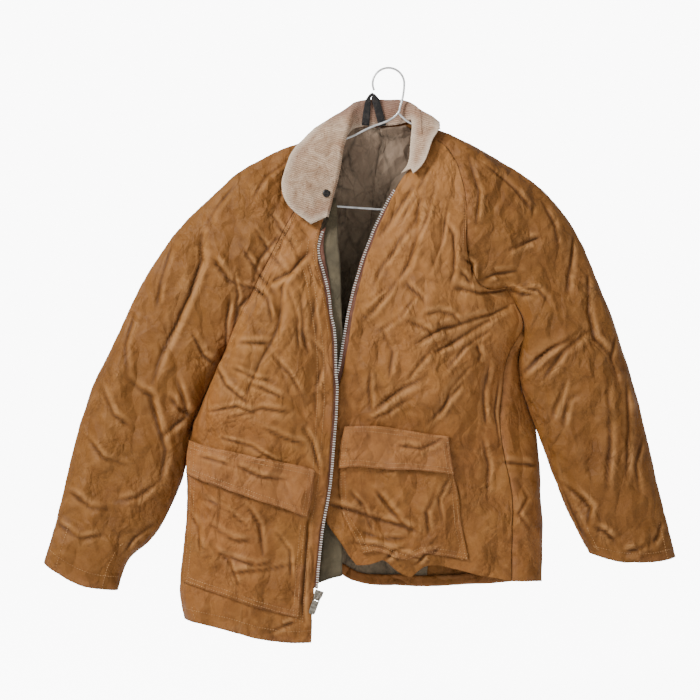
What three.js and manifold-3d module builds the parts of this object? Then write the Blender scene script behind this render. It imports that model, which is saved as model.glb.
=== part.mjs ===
// Field jacket of waxed cotton with a corduroy collar, hanging open on a wire hanger.
// Millimetres. X runs to the right of someone facing the front, Y away from them, Z up.
// The origin is the underside of the hanger's hook, at the top of its arc, where it
// rests on a rail. Right and left in the names are the wearer's.
import * as THREE from "three";
import Module from "manifold-3d";

const CLOTH = 2.2; // wall of the waxed cotton with its thin padding
const LINING = 1.2;
const CORDUROY = 1.8;
const TAPE = 1.2; // zip tape, guard and hang loop
const SEAM_GAP = 0.25; // each panel stops this far from its seam line
const LAY_GAP = 0.4; // between a piece and what it lies on
const WIRE = 3.5; // hanger wire, diameter
const WIRE_SIDES = 6;
const HOOK_RADIUS = 24; // centre line of the hook
const HANGER_Y = 0; // plane of the hanger
const SIDE_ROUND = 2.6; // superellipse power of the rolled sides
const SLEEVE_ROUND = 2.3;
const ACROSS = 14; // cells across each body panel, and along each raglan seam
const DOWN = 24; // rows down each body panel
const NECK_ROWS = 4; // of those, the rows that start on the front neckline
const BACK_NECK_ROWS = 3;
const UNDERARM_ROWS = 14; // sleeve rows from armpit to cuff
const SLEEVE_FRONT_CELLS = 9;
const SLEEVE_BACK_CELLS = 6;
const POCKET_ROWS = { flapTop: 14, flapBottom: 17, bottom: 22 };

const wasm = await Module();
wasm.setup();

// ---------- small tools ----------

// Turns rows of values into objects with the named columns.
function table(columns, rows) {
  const names = columns.split(" ");
  return rows.map((row) => Object.fromEntries(names.map((name, i) => [name, row[i]])));
}

const point = (row) => new THREE.Vector3(row.x, row.y, row.z);
const smooth = (rows) => new THREE.CatmullRomCurve3(rows.map(point), false, "centripetal");
const mix = (a, b, share) => a.clone().lerp(b, share);
const clamp01 = (value) => Math.min(1, Math.max(0, value));
const quarterRound = (share, power) =>
  1 - Math.pow(Math.max(0, 1 - Math.pow(clamp01(share), power)), 1 / power);

// Straight-line reading of a table: column `out` at the value `at` of column `key`.
function read(rows, key, out, at) {
  const rising = rows[rows.length - 1][key] > rows[0][key];
  for (let i = 1; i < rows.length; i += 1) {
    const inside = rising ? at <= rows[i][key] : at >= rows[i][key];
    if (inside || i === rows.length - 1) {
      const share = clamp01((at - rows[i - 1][key]) / (rows[i][key] - rows[i - 1][key]));
      return rows[i - 1][out] + (rows[i][out] - rows[i - 1][out]) * share;
    }
  }
  return rows[0][out];
}

// The point of a curve that falls steadily in z, at height z.
function atHeight(curve, z) {
  let low = 0;
  let high = 1;
  for (let step = 0; step < 40; step += 1) {
    const middle = (low + high) / 2;
    if (curve.getPoint(middle).z > z) low = middle;
    else high = middle;
  }
  return curve.getPoint((low + high) / 2);
}

// Shares across a panel, closer together towards its rolled side.
const SHARES = Array.from({ length: ACROSS + 1 }, (_, i) => 1 - Math.pow(1 - i / ACROSS, 1.3));

// ---------- folds ----------
// Each fold runs from (x0, z0) to (x1, z1). `wide` is its half width, `deep` how far it
// sinks into the cloth; a negative depth stands proud.

const FRONT_FOLDS = table("x0 z0 x1 z1 wide deep", [
  [-120, -279, -178, -327, 14, 7],
  [-162, -361, -208, -475, 16, 6],
  [-136, -330, -152, -470, 16, -4],
  [-240, -350, -252, -430, 14, 5],
  [-150, -215, -130, -290, 18, -3],
  [-200, -220, -250, -330, 20, -3],
  [-128, -545, -104, -608, 14, 3],
  [-290, -548, -190, -556, 14, 3],
  [-282, -250, -300, -330, 16, 7],
  [-315, -365, -357, -475, 18, 8],
  [-357, -480, -345, -560, 18, 8],
  [-338, -578, -352, -650, 18, 5],
  [-325, -400, -305, -500, 14, 4],
  [-400, -430, -430, -600, 24, -4],
  [-410, -690, -470, -640, 18, 3],
  [42, -190, -18, -330, 14, 5],
  [70, -190, 40, -300, 14, -3],
  [95, -190, 96, -300, 12, 3],
  [28, -325, -40, -384, 14, 5],
  [100, -337, 172, -342, 16, 8],
  [172, -366, 75, -425, 16, 6],
  [130, -405, 0, -480, 16, 6],
  [45, -470, -40, -520, 16, 4],
  [110, -475, 60, -535, 18, -3],
  [118, -250, 126, -300, 12, 5],
  [130, -272, 228, -258, 14, 4],
  [142, -322, 230, -304, 14, 4],
  [280, -258, 270, -345, 16, 4],
  [300, -330, 306, -420, 16, 5],
  [285, -392, 222, -470, 16, 5],
  [330, -470, 330, -620, 22, -4],
  [268, -628, 300, -690, 18, 6],
  [340, -728, 400, -716, 14, 3],
  [-20, -640, 30, -700, 16, 4],
  [-90, -662, 40, -702, 16, 5],
  [-52, -716, 50, -742, 12, -4],
]);

const BACK_FOLDS = table("x0 z0 x1 z1 wide deep", [
  [-60, -200, -130, -320, 20, 5],
  [40, -190, 90, -310, 20, 5],
  [-215, -370, -120, -430, 20, 6],
  [160, -350, 60, -440, 20, 6],
  [-150, -500, -170, -680, 24, 5],
  [-235, -540, -245, -720, 22, -5],
  [60, -500, 80, -700, 24, 5],
  [150, -520, 160, -700, 22, -5],
  [-300, -300, -330, -430, 20, 6],
  [-400, -440, -430, -600, 22, 5],
  [-350, -560, -440, -620, 18, 4],
  [250, -300, 280, -420, 20, 6],
  [330, -430, 350, -600, 22, 5],
  [270, -590, 350, -640, 18, 4],
]);

function relief(folds, x, z) {
  let total = 0;
  for (const fold of folds) {
    const dx = fold.x1 - fold.x0;
    const dz = fold.z1 - fold.z0;
    const length = Math.hypot(dx, dz);
    const along = ((x - fold.x0) * dx + (z - fold.z0) * dz) / length;
    const aside = ((x - fold.x0) * dz - (z - fold.z0) * dx) / length;
    const past = Math.max(0, -along, along - length);
    const distance = Math.hypot(aside, past) / fold.wide;
    total += fold.deep * Math.exp(-distance * distance);
  }
  return total;
}

// ---------- shells ----------
// A grid is rows of points. `facing` is 1 where (across) x (down) points out of the cloth.

function normalsOf(grid, facing) {
  const last = grid.length - 1;
  return grid.map((row, j) =>
    row.map((_, i) => {
      const end = row.length - 1;
      const across = row[Math.min(end, i + 1)].clone().sub(row[Math.max(0, i - 1)]);
      const down = grid[Math.min(last, j + 1)][i].clone().sub(grid[Math.max(0, j - 1)][i]);
      return across.cross(down).multiplyScalar(facing).normalize();
    }),
  );
}

function shellGeometry(outer, inner, facing) {
  const rows = outer.length;
  const columns = outer[0].length;
  const positions = [];
  for (const side of [outer, inner]) {
    for (const row of side) for (const p of row) positions.push(p.x, p.y, p.z);
  }
  const index = [];
  const id = (side, j, i) => side * rows * columns + j * columns + i;
  const face = (a, b, c) => index.push(...(facing > 0 ? [a, b, c] : [a, c, b]));
  const quad = (a, b, c, d) => {
    face(a, b, c);
    face(a, c, d);
  };
  for (let j = 0; j + 1 < rows; j += 1) {
    for (let i = 0; i + 1 < columns; i += 1) {
      quad(id(0, j, i), id(0, j, i + 1), id(0, j + 1, i + 1), id(0, j + 1, i));
      quad(id(1, j, i), id(1, j + 1, i), id(1, j + 1, i + 1), id(1, j, i + 1));
    }
  }
  const rim = [];
  for (let i = 0; i < columns - 1; i += 1) rim.push([0, i]);
  for (let j = 0; j < rows - 1; j += 1) rim.push([j, columns - 1]);
  for (let i = columns - 1; i > 0; i -= 1) rim.push([rows - 1, i]);
  for (let j = rows - 1; j > 0; j -= 1) rim.push([j, 0]);
  rim.forEach(([j, i], k) => {
    const [nextJ, nextI] = rim[(k + 1) % rim.length];
    quad(id(0, j, i), id(1, j, i), id(1, nextJ, nextI), id(0, nextJ, nextI));
  });
  const geometry = new THREE.BufferGeometry();
  geometry.setAttribute("position", new THREE.Float32BufferAttribute(positions, 3));
  geometry.setIndex(index);
  return geometry;
}

const shifted = (grid, normals, distance) =>
  grid.map((row, j) => row.map((p, i) => p.clone().addScaledVector(normals[j][i], distance)));

const shell = (panel, thickness) =>
  shellGeometry(panel.grid, shifted(panel.grid, panel.normals, -thickness), panel.facing);

// A sheet of cloth between two depths under (or, if negative, over) a panel's own points.
function layer(panel, near, thickness) {
  const outer = shifted(panel.grid, panel.normals, -near);
  const inner = shifted(panel.grid, panel.normals, -near - thickness);
  return shellGeometry(outer, inner, panel.facing);
}

// The part of a panel between two columns and two rows.
function cut(panel, columns, rows) {
  const take = (grid) =>
    grid.slice(rows[0], rows[1] + 1).map((row) => row.slice(columns[0], columns[1] + 1));
  return { grid: take(panel.grid), normals: take(panel.normals), facing: panel.facing };
}

// Gives both sides of a seam the same normals. `seam` lists [panel, j, i] pairs.
function matchSeam(pairs) {
  for (const [a, ja, ia, b, jb, ib] of pairs) {
    const shared = a.normals[ja][ia].clone().add(b.normals[jb][ib]).normalize();
    a.normals[ja][ia].copy(shared);
    b.normals[jb][ib].copy(shared);
  }
}

// Draws each edge of a panel back from its seam line, square to the seam.
function drawBack(panel, gap) {
  const { grid } = panel;
  const before = grid.map((row) => row.map((p) => p.clone()));
  const last = grid.length - 1;
  const end = grid[0].length - 1;
  const pull = (j, i, inJ, inI, stepJ, stepI) => {
    const ahead = before[Math.min(last, j + stepJ)][Math.min(end, i + stepI)];
    const behind = before[Math.max(0, j - stepJ)][Math.max(0, i - stepI)];
    const seam = ahead.clone().sub(behind).normalize();
    const inwards = before[inJ][inI].clone().sub(before[j][i]);
    inwards.addScaledVector(seam, -inwards.dot(seam)).normalize();
    grid[j][i].addScaledVector(inwards, gap);
  };
  for (let j = 0; j <= last; j += 1) {
    pull(j, 0, j, 1, 1, 0);
    pull(j, end, j, end - 1, 1, 0);
  }
  for (let i = 0; i <= end; i += 1) {
    pull(0, i, 1, i, 0, 1);
    pull(last, i, last - 1, i, 0, 1);
  }
}

// ---------- neckline ----------
// The seam that the collar stands on, from the right front's zip round the back of the
// neck to the left front's zip. It falls from the shoulders to both fronts.

const NECKLINE = table("x y z", [
  [-104, -40, -250],
  [-97, -30, -222],
  [-91, -23, -197],
  [-86, -17, -172],
  [-82, -12, -147],
  [-78, -9, -125],
  [-72, -5, -104],
  [-67, 2, -96],
  [-61, 9, -91],
  [-52, 13, -88],
  [-33, 15.5, -87.5],
  [-12, 16, -87],
  [8, 15.5, -86],
  [26, 13, -83],
  [33, 9, -80],
  [38, 2, -78],
  [40, -5, -83],
  [38, -10, -95],
  [36, -16, -122],
  [33, -22, -149],
  [23, -26, -164],
  [10, -30, -185],
]);
const neckCurve = smooth(NECKLINE);
const NECK_MARK = {
  rightZip: 0,
  rightFrontSeam: 5,
  rightShoulder: 7,
  rightBackSeam: 9,
  centreBack: 11,
  leftBackSeam: 13,
  leftShoulder: 15,
  leftFrontSeam: 17,
  leftZip: 21,
};
const onNeck = (mark) => neckCurve.getPoint(mark / (NECKLINE.length - 1));
const neckStretch = (from, to, shares) => shares.map((s) => onNeck(from + (to - from) * s));
const even = (cells) => Array.from({ length: cells + 1 }, (_, i) => i / cells);

// ---------- edges of the body panels ----------

const ZIP_EDGE_RIGHT = table("x y z", [
  [-104, -40, -250],
  [-111, -45, -277],
  [-97, -51, -330],
  [-91, -53, -375],
  [-84, -54, -420],
  [-84, -54, -460],
  [-82, -54, -482],
  [-87, -53, -565],
  [-92, -52, -630],
  [-104, -50, -700],
  [-112, -48, -780],
  [-117, -46, -867],
]);
const ZIP_EDGE_LEFT = table("x y z", [
  [10, -30, -185],
  [-5, -33, -218],
  [-19, -37, -247],
  [-38, -41, -302],
  [-54, -43, -370],
  [-66, -41, -450],
  [-80, -38, -500],
  [-103, -35, -575],
  [-105, -35, -640],
  [-97, -36, -684],
  [-76, -38, -712],
  [-60, -38, -738],
  [-50, -38, -752],
]);
const SIDE_SEAM_RIGHT = table("x y z", [
  [-250, -4, -442],
  [-265, -3, -475],
  [-284.5, -2, -514],
  [-299, -1, -550],
  [-304, 0, -600],
  [-307, 0, -665],
  [-311, 0, -720],
  [-317, 0, -775],
  [-317, 0, -812],
  [-311, 0, -836],
]);
const SIDE_SEAM_LEFT = table("x y z", [
  [178, -12, -333],
  [190, -12, -362],
  [198, -12, -388],
  [193, -13, -408],
  [181, -15, -430],
  [174, -19, -455],
  [170, -23, -500],
  [168, -27, -550],
  [177, -30, -600],
  [185, -32, -632],
  [186, -33, -700],
  [186, -33, -776],
]);
const CENTRE_BACK = table("x y z", [
  [-12, 16, -87],
  [-25, 34, -200],
  [-38, 38, -330],
  [-50, 38, -450],
  [-62, 38, -600],
]);
const VENT_EDGE_LEFT = table("x y z", [
  [-62, 38, -600],
  [-70, 36, -690],
  [-77, 34, -768],
]);
const VENT_EDGE_RIGHT = table("x y z", [
  [-62, 38, -600],
  [-88, 38, -700],
  [-122, 36, -798],
]);
const VENT_ROW = 18; // the centre back seam ends here

const RAGLAN_FRONT_RIGHT = table("x y z", [
  [-78, -9, -125],
  [-110, -22, -165],
  [-150, -36, -232],
  [-190, -43, -310],
  [-225, -40, -375],
  [-243, -25, -415],
  [-250, -4, -442],
]);
const RAGLAN_FRONT_LEFT = table("x y z", [
  [38, -10, -95],
  [62, -15, -101],
  [88, -24, -118],
  [108, -36, -158],
  [117, -43, -215],
  [117, -46, -258],
  [121, -45, -295],
  [132, -40, -326],
  [155, -27, -337],
  [178, -12, -333],
]);
const RAGLAN_BACK_RIGHT = table("x y z", [
  [-52, 13, -88],
  [-85, 24, -128],
  [-130, 33, -205],
  [-180, 37, -300],
  [-222, 33, -370],
  [-243, 18, -415],
  [-250, -4, -442],
]);
const RAGLAN_BACK_LEFT = table("x y z", [
  [26, 13, -83],
  [58, 24, -112],
  [95, 33, -180],
  [125, 36, -255],
  [152, 28, -312],
  [170, 6, -334],
  [178, -12, -333],
]);

// Heights of the rows on each edge, so that rows meet the pocket and flap lines.
const ROWS_ZIP_RIGHT = table("row z", [
  [NECK_ROWS, -250],
  [POCKET_ROWS.flapTop, -612],
  [POCKET_ROWS.flapBottom, -684],
  [POCKET_ROWS.bottom, -832],
  [DOWN, -867],
]);
const ROWS_ZIP_LEFT = table("row z", [
  [NECK_ROWS, -185],
  [POCKET_ROWS.flapTop, -549],
  [POCKET_ROWS.flapBottom, -609],
  [POCKET_ROWS.bottom, -735],
  [DOWN, -752],
]);
const ROWS_SIDE_RIGHT = table("row z", [
  [0, -442],
  [POCKET_ROWS.flapTop, -563],
  [POCKET_ROWS.flapBottom, -611],
  [POCKET_ROWS.bottom, -775],
  [DOWN, -836],
]);
const ROWS_SIDE_LEFT = table("row z", [
  [0, -333],
  [POCKET_ROWS.flapTop, -545],
  [POCKET_ROWS.flapBottom, -606],
  [POCKET_ROWS.bottom, -748],
  [DOWN, -776],
]);
const ROWS_BACK_LEFT = table("row z", [
  [BACK_NECK_ROWS, -87],
  [VENT_ROW, -600],
  [DOWN, -768],
]);
const ROWS_BACK_RIGHT = table("row z", [
  [BACK_NECK_ROWS, -87],
  [VENT_ROW, -600],
  [DOWN, -798],
]);

// Hems: height of the lower edge at a share of the way from the zip or centre back.
const HEM_FRONT_RIGHT = table("share z", [
  [0, -867],
  [0.22, -869],
  [0.43, -862],
  [0.62, -850],
  [0.81, -843],
  [1, -836],
]);
const HEM_FRONT_LEFT = table("share z", [
  [0, -752],
  [0.09, -753],
  [0.18, -743],
  [0.27, -764],
  [0.37, -772],
  [0.44, -751],
  [0.55, -752],
  [0.65, -758],
  [0.78, -767],
  [1, -776],
]);
const HEM_BACK_RIGHT = table("share z", [
  [0, -798],
  [0.2, -806],
  [0.5, -822],
  [0.8, -832],
  [1, -836],
]);
const HEM_BACK_LEFT = table("share z", [
  [0, -768],
  [0.09, -789],
  [0.3, -790],
  [0.5, -788],
  [0.7, -782],
  [1, -776],
]);

// The left side rolls forward past the outline to its seam.
const ROLL_LEFT = table("z x", [
  [-333, 178],
  [-388, 199],
  [-412, 200],
  [-435, 197],
  [-470, 199.5],
  [-505, 207.5],
  [-535, 218],
  [-560, 226],
  [-600, 231],
  [-640, 235],
  [-700, 238],
  [-780, 238],
]);
const ROLL_DEPTH = 2; // y of the roll's outermost line

// ---------- body panels ----------

// `vent` is the edge that takes over below the foot of the centre back seam.
function edgeRows(neck, curve, heights, vent) {
  const from = heights[0].row;
  const rows = Array.from({ length: DOWN + 1 - from }, (_, k) => {
    const line = vent && from + k > VENT_ROW ? vent : curve;
    return atHeight(line, read(heights, "row", "z", from + k));
  });
  return [...neck.slice(0, from), ...rows];
}

// A panel whose raglan seam runs nearly straight down has rows bowed towards its centre
// line by `bow`, over this share of its height.
const BOW_SPAN = 0.58;
const BOW_LEFT = 24;

// A front or back panel. Rows run from the raglan seam to the hem, columns from the
// centre line to the side seam; `section` gives the cloth between the two.
function bodyPanel({ centre, side, raglan, hem, section, folds, towards, facing, bow = 0 }) {
  const top = SHARES.map((share) => raglan.getPointAt(share));
  const grid = centre.map((start, j) => SHARES.map((share) => section(start, side[j], share)));
  const firstRow = grid[0].map((p) => p.clone());
  const lastRow = grid[DOWN].map((p) => p.clone());
  grid.forEach((row, j) => {
    const v = j / DOWN;
    row.forEach((p, i) => {
      p.addScaledVector(top[i].clone().sub(firstRow[i]), 1 - v);
      p.z += (read(hem, "share", "z", SHARES[i]) - lastRow[i].z) * Math.pow(v, 6);
      p.x -= bow * Math.sin(Math.PI * SHARES[i]) * Math.sin(Math.PI * clamp01(v / BOW_SPAN));
    });
  });
  grid.forEach((row, j) => {
    row.forEach((p, i) => {
      const hold = seamHold(SHARES[i]) * (j === 0 ? 1 : clamp01(i / 1.5));
      p.y += towards * relief(folds, p.x, p.z) * hold;
    });
  });
  return { grid, normals: normalsOf(grid, facing), facing };
}

// Folds fade out at the rolled sides and at the neck, where seams hold the cloth.
const seamHold = (share) => Math.sin(Math.PI * Math.pow(clamp01(share), 0.8)) ** 0.7;

const frontSection = (start, end, share) => {
  const p = mix(start, end, share);
  p.y = start.y + (end.y - start.y) * quarterRound(share, SIDE_ROUND);
  return p;
};

function backLeftSection(start, end, share) {
  const rollX = Math.max(end.x, read(ROLL_LEFT, "z", "x", end.z));
  const wrap = rollX - end.x;
  const flat = rollX - start.x;
  const turn = flat / (flat + 1.4 * wrap);
  const p = mix(start, end, share);
  const rollY = end.y + (ROLL_DEPTH - end.y) * clamp01(wrap / 30);
  if (share <= turn) {
    const reach = share / turn;
    p.x = start.x + flat * reach;
    p.y = start.y + (rollY - start.y) * quarterRound(reach, SIDE_ROUND);
  } else {
    const angle = ((share - turn) / (1 - turn)) * (Math.PI / 2);
    p.x = rollX - wrap * (1 - Math.cos(angle));
    p.y = rollY + (end.y - rollY) * Math.sin(angle);
  }
  return p;
}

const sideRight = edgeRows([], smooth(SIDE_SEAM_RIGHT), ROWS_SIDE_RIGHT);
const sideLeft = edgeRows([], smooth(SIDE_SEAM_LEFT), ROWS_SIDE_LEFT);
const frontRight = bodyPanel({
  centre: edgeRows(
    neckStretch(NECK_MARK.rightFrontSeam, NECK_MARK.rightZip, even(NECK_ROWS)),
    smooth(ZIP_EDGE_RIGHT),
    ROWS_ZIP_RIGHT,
  ),
  side: sideRight,
  raglan: smooth(RAGLAN_FRONT_RIGHT),
  hem: HEM_FRONT_RIGHT,
  section: frontSection,
  folds: FRONT_FOLDS,
  towards: 1,
  facing: 1,
});
const frontLeft = bodyPanel({
  centre: edgeRows(
    neckStretch(NECK_MARK.leftFrontSeam, NECK_MARK.leftZip, even(NECK_ROWS)),
    smooth(ZIP_EDGE_LEFT),
    ROWS_ZIP_LEFT,
  ),
  side: sideLeft,
  raglan: smooth(RAGLAN_FRONT_LEFT),
  hem: HEM_FRONT_LEFT,
  section: frontSection,
  folds: FRONT_FOLDS,
  towards: 1,
  facing: -1,
  bow: BOW_LEFT,
});
const backRight = bodyPanel({
  centre: edgeRows(
    neckStretch(NECK_MARK.rightBackSeam, NECK_MARK.centreBack, even(BACK_NECK_ROWS)),
    smooth(CENTRE_BACK),
    ROWS_BACK_RIGHT,
    smooth(VENT_EDGE_RIGHT),
  ),
  side: sideRight,
  raglan: smooth(RAGLAN_BACK_RIGHT),
  hem: HEM_BACK_RIGHT,
  section: frontSection,
  folds: BACK_FOLDS,
  towards: -1,
  facing: -1,
});
const backLeft = bodyPanel({
  centre: edgeRows(
    neckStretch(NECK_MARK.leftBackSeam, NECK_MARK.centreBack, even(BACK_NECK_ROWS)),
    smooth(CENTRE_BACK),
    ROWS_BACK_LEFT,
    smooth(VENT_EDGE_LEFT),
  ),
  side: sideLeft,
  raglan: smooth(RAGLAN_BACK_LEFT),
  hem: HEM_BACK_LEFT,
  section: backLeftSection,
  folds: BACK_FOLDS,
  towards: -1,
  facing: 1,
});

// ---------- sleeves ----------

const OVERARM_RIGHT = table("x y z", [
  [-67, 2, -96],
  [-100, 1, -103],
  [-137, 1, -112],
  [-175, 2, -128],
  [-225, 3, -153],
  [-275, 4, -200],
  [-325, 5, -250],
  [-375, 5, -325],
  [-405, 4, -388],
]);
const OVERARM_RIGHT_LOWER = table("x y z", [
  [-405, 4, -388],
  [-430, 4, -440],
  [-457, 2, -500],
  [-485, 0, -600],
  [-502, -1, -675],
  [-515, -2, -720],
  [-524, -2, -750],
]);
const UNDERARM_RIGHT = table("x y z", [
  [-250, -4, -442],
  [-258.5, -3, -456],
  [-269, -2, -477],
  [-287.5, -1, -514],
  [-302, 0, -550],
  [-307, 0, -590],
  [-314, -1, -625],
  [-343, -2, -690],
  [-357, -2, -713],
  [-375, -2, -730],
  [-396, -2, -744],
  [-412, -2, -793],
]);
const OVERARM_LEFT = table("x y z", [
  [38, 2, -78],
  [60, 1, -84],
  [78, 1, -92],
  [125, 1, -113],
  [175, 2, -143],
  [225, 3, -175],
  [262, 4, -215],
  [295, 4, -265],
  [318, 4, -320],
]);
const OVERARM_LEFT_LOWER = table("x y z", [
  [318, 4, -320],
  [340, 4, -375],
  [360, 3, -440],
  [380, 2, -505],
  [397, 0, -575],
  [411, 0, -640],
  [428, -1, -705],
  [436, -2, -742],
]);
const UNDERARM_LEFT = table("x y z", [
  [178, -12, -333],
  [193, -8, -354],
  [205, -6, -373],
  [213, -4, -392],
  [206, -3, -412],
  [200, -3, -435],
  [203, -3, -470],
  [211, -2, -505],
  [231, -2, -560],
  [262, -2, -650],
  [290, -2, -708],
  [305, -2, -737],
]);
const SLEEVE_DEPTH = table("row front back", [
  [0, 6, 6],
  [3, 24, 22],
  [8, 38, 32],
  [14, 40, 32],
  [20, 37, 32],
  [28, 30, 26],
]);
const CUFF_BOW = { front: 10, back: 4 };
const RAGLAN_OPEN = 0.6; // how far the cells open out towards the raglan seam

// A half of a sleeve, from the neck to the cuff. Columns run from the overarm line to
// the raglan seam and, past the armpit, to the underarm seam.
function sleeveHalf({ shoulderMark, seamMark, over, overLower, raglan, under, side, facing }) {
  const cells = side === "front" ? SLEEVE_FRONT_CELLS : SLEEVE_BACK_CELLS;
  const towards = side === "front" ? -1 : 1;
  const folds = side === "front" ? FRONT_FOLDS : BACK_FOLDS;
  const lower = even(UNDERARM_ROWS).slice(1);
  const outer = [
    ...SHARES.map((share) => over.getPointAt(share)),
    ...lower.map((share) => overLower.getPointAt(share)),
  ];
  const inner = [
    ...SHARES.map((share) => raglan.getPointAt(share)),
    ...lower.map((share) => under.getPointAt(share)),
  ];
  const neckEdge = neckStretch(shoulderMark, seamMark, even(cells));
  const rows = outer.length - 1;
  const grid = outer.map((start, j) => {
    const end = inner[j];
    const depth = read(SLEEVE_DEPTH, "row", side, j);
    const onRaglan = clamp01((ACROSS + 1.5 - j) / 4);
    return even(cells).map((even01, i) => {
      const rounded = (1 - Math.cos(Math.PI * even01)) / 2;
      const opened = 1 - Math.cos((Math.PI * even01) / 2);
      const share = rounded + (opened - rounded) * RAGLAN_OPEN * onRaglan;
      const p = mix(start, end, share);
      const lens = Math.pow(1 - Math.pow(Math.abs(2 * share - 1), SLEEVE_ROUND), 1 / SLEEVE_ROUND);
      const tube = p.y + towards * depth * lens;
      const shoulder = end.y + (start.y - end.y) * quarterRound(1 - share, SLEEVE_ROUND);
      p.y = tube + (shoulder - tube) * onRaglan;
      p.z -= Math.pow(j / rows, 8) * CUFF_BOW[side] * Math.sin(Math.PI * share);
      return j === 0 ? neckEdge[i] : p;
    });
  });
  grid.forEach((row, j) => {
    row.forEach((p, i) => {
      const share = i / cells;
      const atSeam = j <= ACROSS ? seamHold(SHARES[j]) : 0;
      const middle = seamHold(share) * clamp01((rows - j) / 3) * clamp01(j / 2);
      const hold = middle * (1 - share ** 3) + atSeam * share ** 3;
      p.y -= towards * relief(folds, p.x, p.z) * hold;
    });
  });
  return { grid, normals: normalsOf(grid, facing), facing };
}

const SLEEVE_RIGHT = {
  shoulderMark: NECK_MARK.rightShoulder,
  over: smooth(OVERARM_RIGHT),
  overLower: smooth(OVERARM_RIGHT_LOWER),
  under: smooth(UNDERARM_RIGHT),
};
const SLEEVE_LEFT = {
  shoulderMark: NECK_MARK.leftShoulder,
  over: smooth(OVERARM_LEFT),
  overLower: smooth(OVERARM_LEFT_LOWER),
  under: smooth(UNDERARM_LEFT),
};
const sleeveRightFront = sleeveHalf({
  ...SLEEVE_RIGHT,
  seamMark: NECK_MARK.rightFrontSeam,
  raglan: smooth(RAGLAN_FRONT_RIGHT),
  side: "front",
  facing: -1,
});
const sleeveRightBack = sleeveHalf({
  ...SLEEVE_RIGHT,
  seamMark: NECK_MARK.rightBackSeam,
  raglan: smooth(RAGLAN_BACK_RIGHT),
  side: "back",
  facing: 1,
});
const sleeveLeftFront = sleeveHalf({
  ...SLEEVE_LEFT,
  seamMark: NECK_MARK.leftFrontSeam,
  raglan: smooth(RAGLAN_FRONT_LEFT),
  side: "front",
  facing: 1,
});
const sleeveLeftBack = sleeveHalf({
  ...SLEEVE_LEFT,
  seamMark: NECK_MARK.leftBackSeam,
  raglan: smooth(RAGLAN_BACK_LEFT),
  side: "back",
  facing: -1,
});

// ---------- seams ----------

const rowsUpTo = (count) => Array.from({ length: count + 1 }, (_, k) => k);
for (const [front, back, sleeveFront, sleeveBack] of [
  [frontRight, backRight, sleeveRightFront, sleeveRightBack],
  [frontLeft, backLeft, sleeveLeftFront, sleeveLeftBack],
]) {
  const sleeveRows = rowsUpTo(ACROSS + UNDERARM_ROWS);
  matchSeam(rowsUpTo(DOWN).map((j) => [front, j, ACROSS, back, j, ACROSS]));
  matchSeam(sleeveRows.map((j) => [sleeveFront, j, 0, sleeveBack, j, 0]));
  matchSeam(
    sleeveRows
      .slice(ACROSS)
      .map((j) => [sleeveFront, j, SLEEVE_FRONT_CELLS, sleeveBack, j, SLEEVE_BACK_CELLS]),
  );
  matchSeam(rowsUpTo(ACROSS).map((k) => [front, 0, k, sleeveFront, k, SLEEVE_FRONT_CELLS]));
  matchSeam(rowsUpTo(ACROSS).map((k) => [back, 0, k, sleeveBack, k, SLEEVE_BACK_CELLS]));
}
matchSeam(
  rowsUpTo(VENT_ROW)
    .slice(BACK_NECK_ROWS)
    .map((j) => [backRight, j, 0, backLeft, j, 0]),
);
// The four seams of an armpit meet facing straight down.
const ARMPIT_FACING = new THREE.Vector3(0, 0, -1);
for (const panel of [frontRight, frontLeft, backRight, backLeft]) {
  panel.normals[0][ACROSS].copy(ARMPIT_FACING);
}
for (const panel of [sleeveRightFront, sleeveRightBack, sleeveLeftFront, sleeveLeftBack]) {
  panel.normals[ACROSS][panel.grid[0].length - 1].copy(ARMPIT_FACING);
}
const bodyPanels = [frontRight, frontLeft, backRight, backLeft];
const sleevePanels = [sleeveRightFront, sleeveRightBack, sleeveLeftFront, sleeveLeftBack];
for (const panel of [...bodyPanels, ...sleevePanels]) drawBack(panel, SEAM_GAP);
// The body stands further from the sleeves over the last cells before each armpit.
const ARMPIT_GAPS = [0.5, 0.7, 0.7, 0.8];
for (const panel of bodyPanels) {
  const edge = panel.grid[0].slice(-ARMPIT_GAPS.length);
  edge.forEach((p, k) => {
    p.x -= Math.sign(p.x) * ARMPIT_GAPS[k];
  });
}

// ---------- collar ----------
// Each station gives the fold line and the leaf's outer edge over a mark of the neckline.
// `round` is the radius of the fold.

const COLLAR = table("mark fx fy fz ex ey ez round", [
  [0.9, -95, -44, -227, -117, -47, -238, 2.5],
  [2, -85, -43, -193, -153, -48, -212, 4],
  [3, -79, -41, -170, -162, -47, -185, 6],
  [4, -76, -37, -146, -158, -42, -158, 6],
  [5, -72, -32, -121, -149, -35, -134, 6],
  [6.2, -66, -22, -96, -133, -22, -111, 6],
  [8, -60, -7, -72, -112, -6, -91, 6],
  [9.3, -55, 7, -52, -92, 22, -72, 6],
  [10.3, -42, 15, -46, -60, 38, -86, 6],
  [11.5, -12, 17, -45, -12, 43, -94, 6],
  [12.8, 18, 15, -45, 26, 40, -92, 6],
  [13.9, 34, 7, -50, 58, 22, -80, 6],
  [15.2, 44, -3, -58, 77, -4, -79, 7.5],
  [16.3, 49, -15, -76, 78, -26, -91, 7.5],
  [17.3, 50, -24, -99, 64, -36, -109, 6],
  [18.2, 48, -30, -122, 60, -39, -126, 5],
  [19, 45, -32, -138, 52, -38, -146, 3],
  [20, 33, -34, -153, 36, -39, -160, 2],
]);
const COLLAR_STATIONS = 21;
const COLLAR_PATH = [0, 0.5, 1, 1.5, 2, 2.5, 3, 4, 5]; // along the section's six points
const STAND_INSET = 6.4; // the stand is sewn this far inside the neckline,
const STAND_CLOSER = 3.4; // and this much closer to it at the centre back

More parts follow.
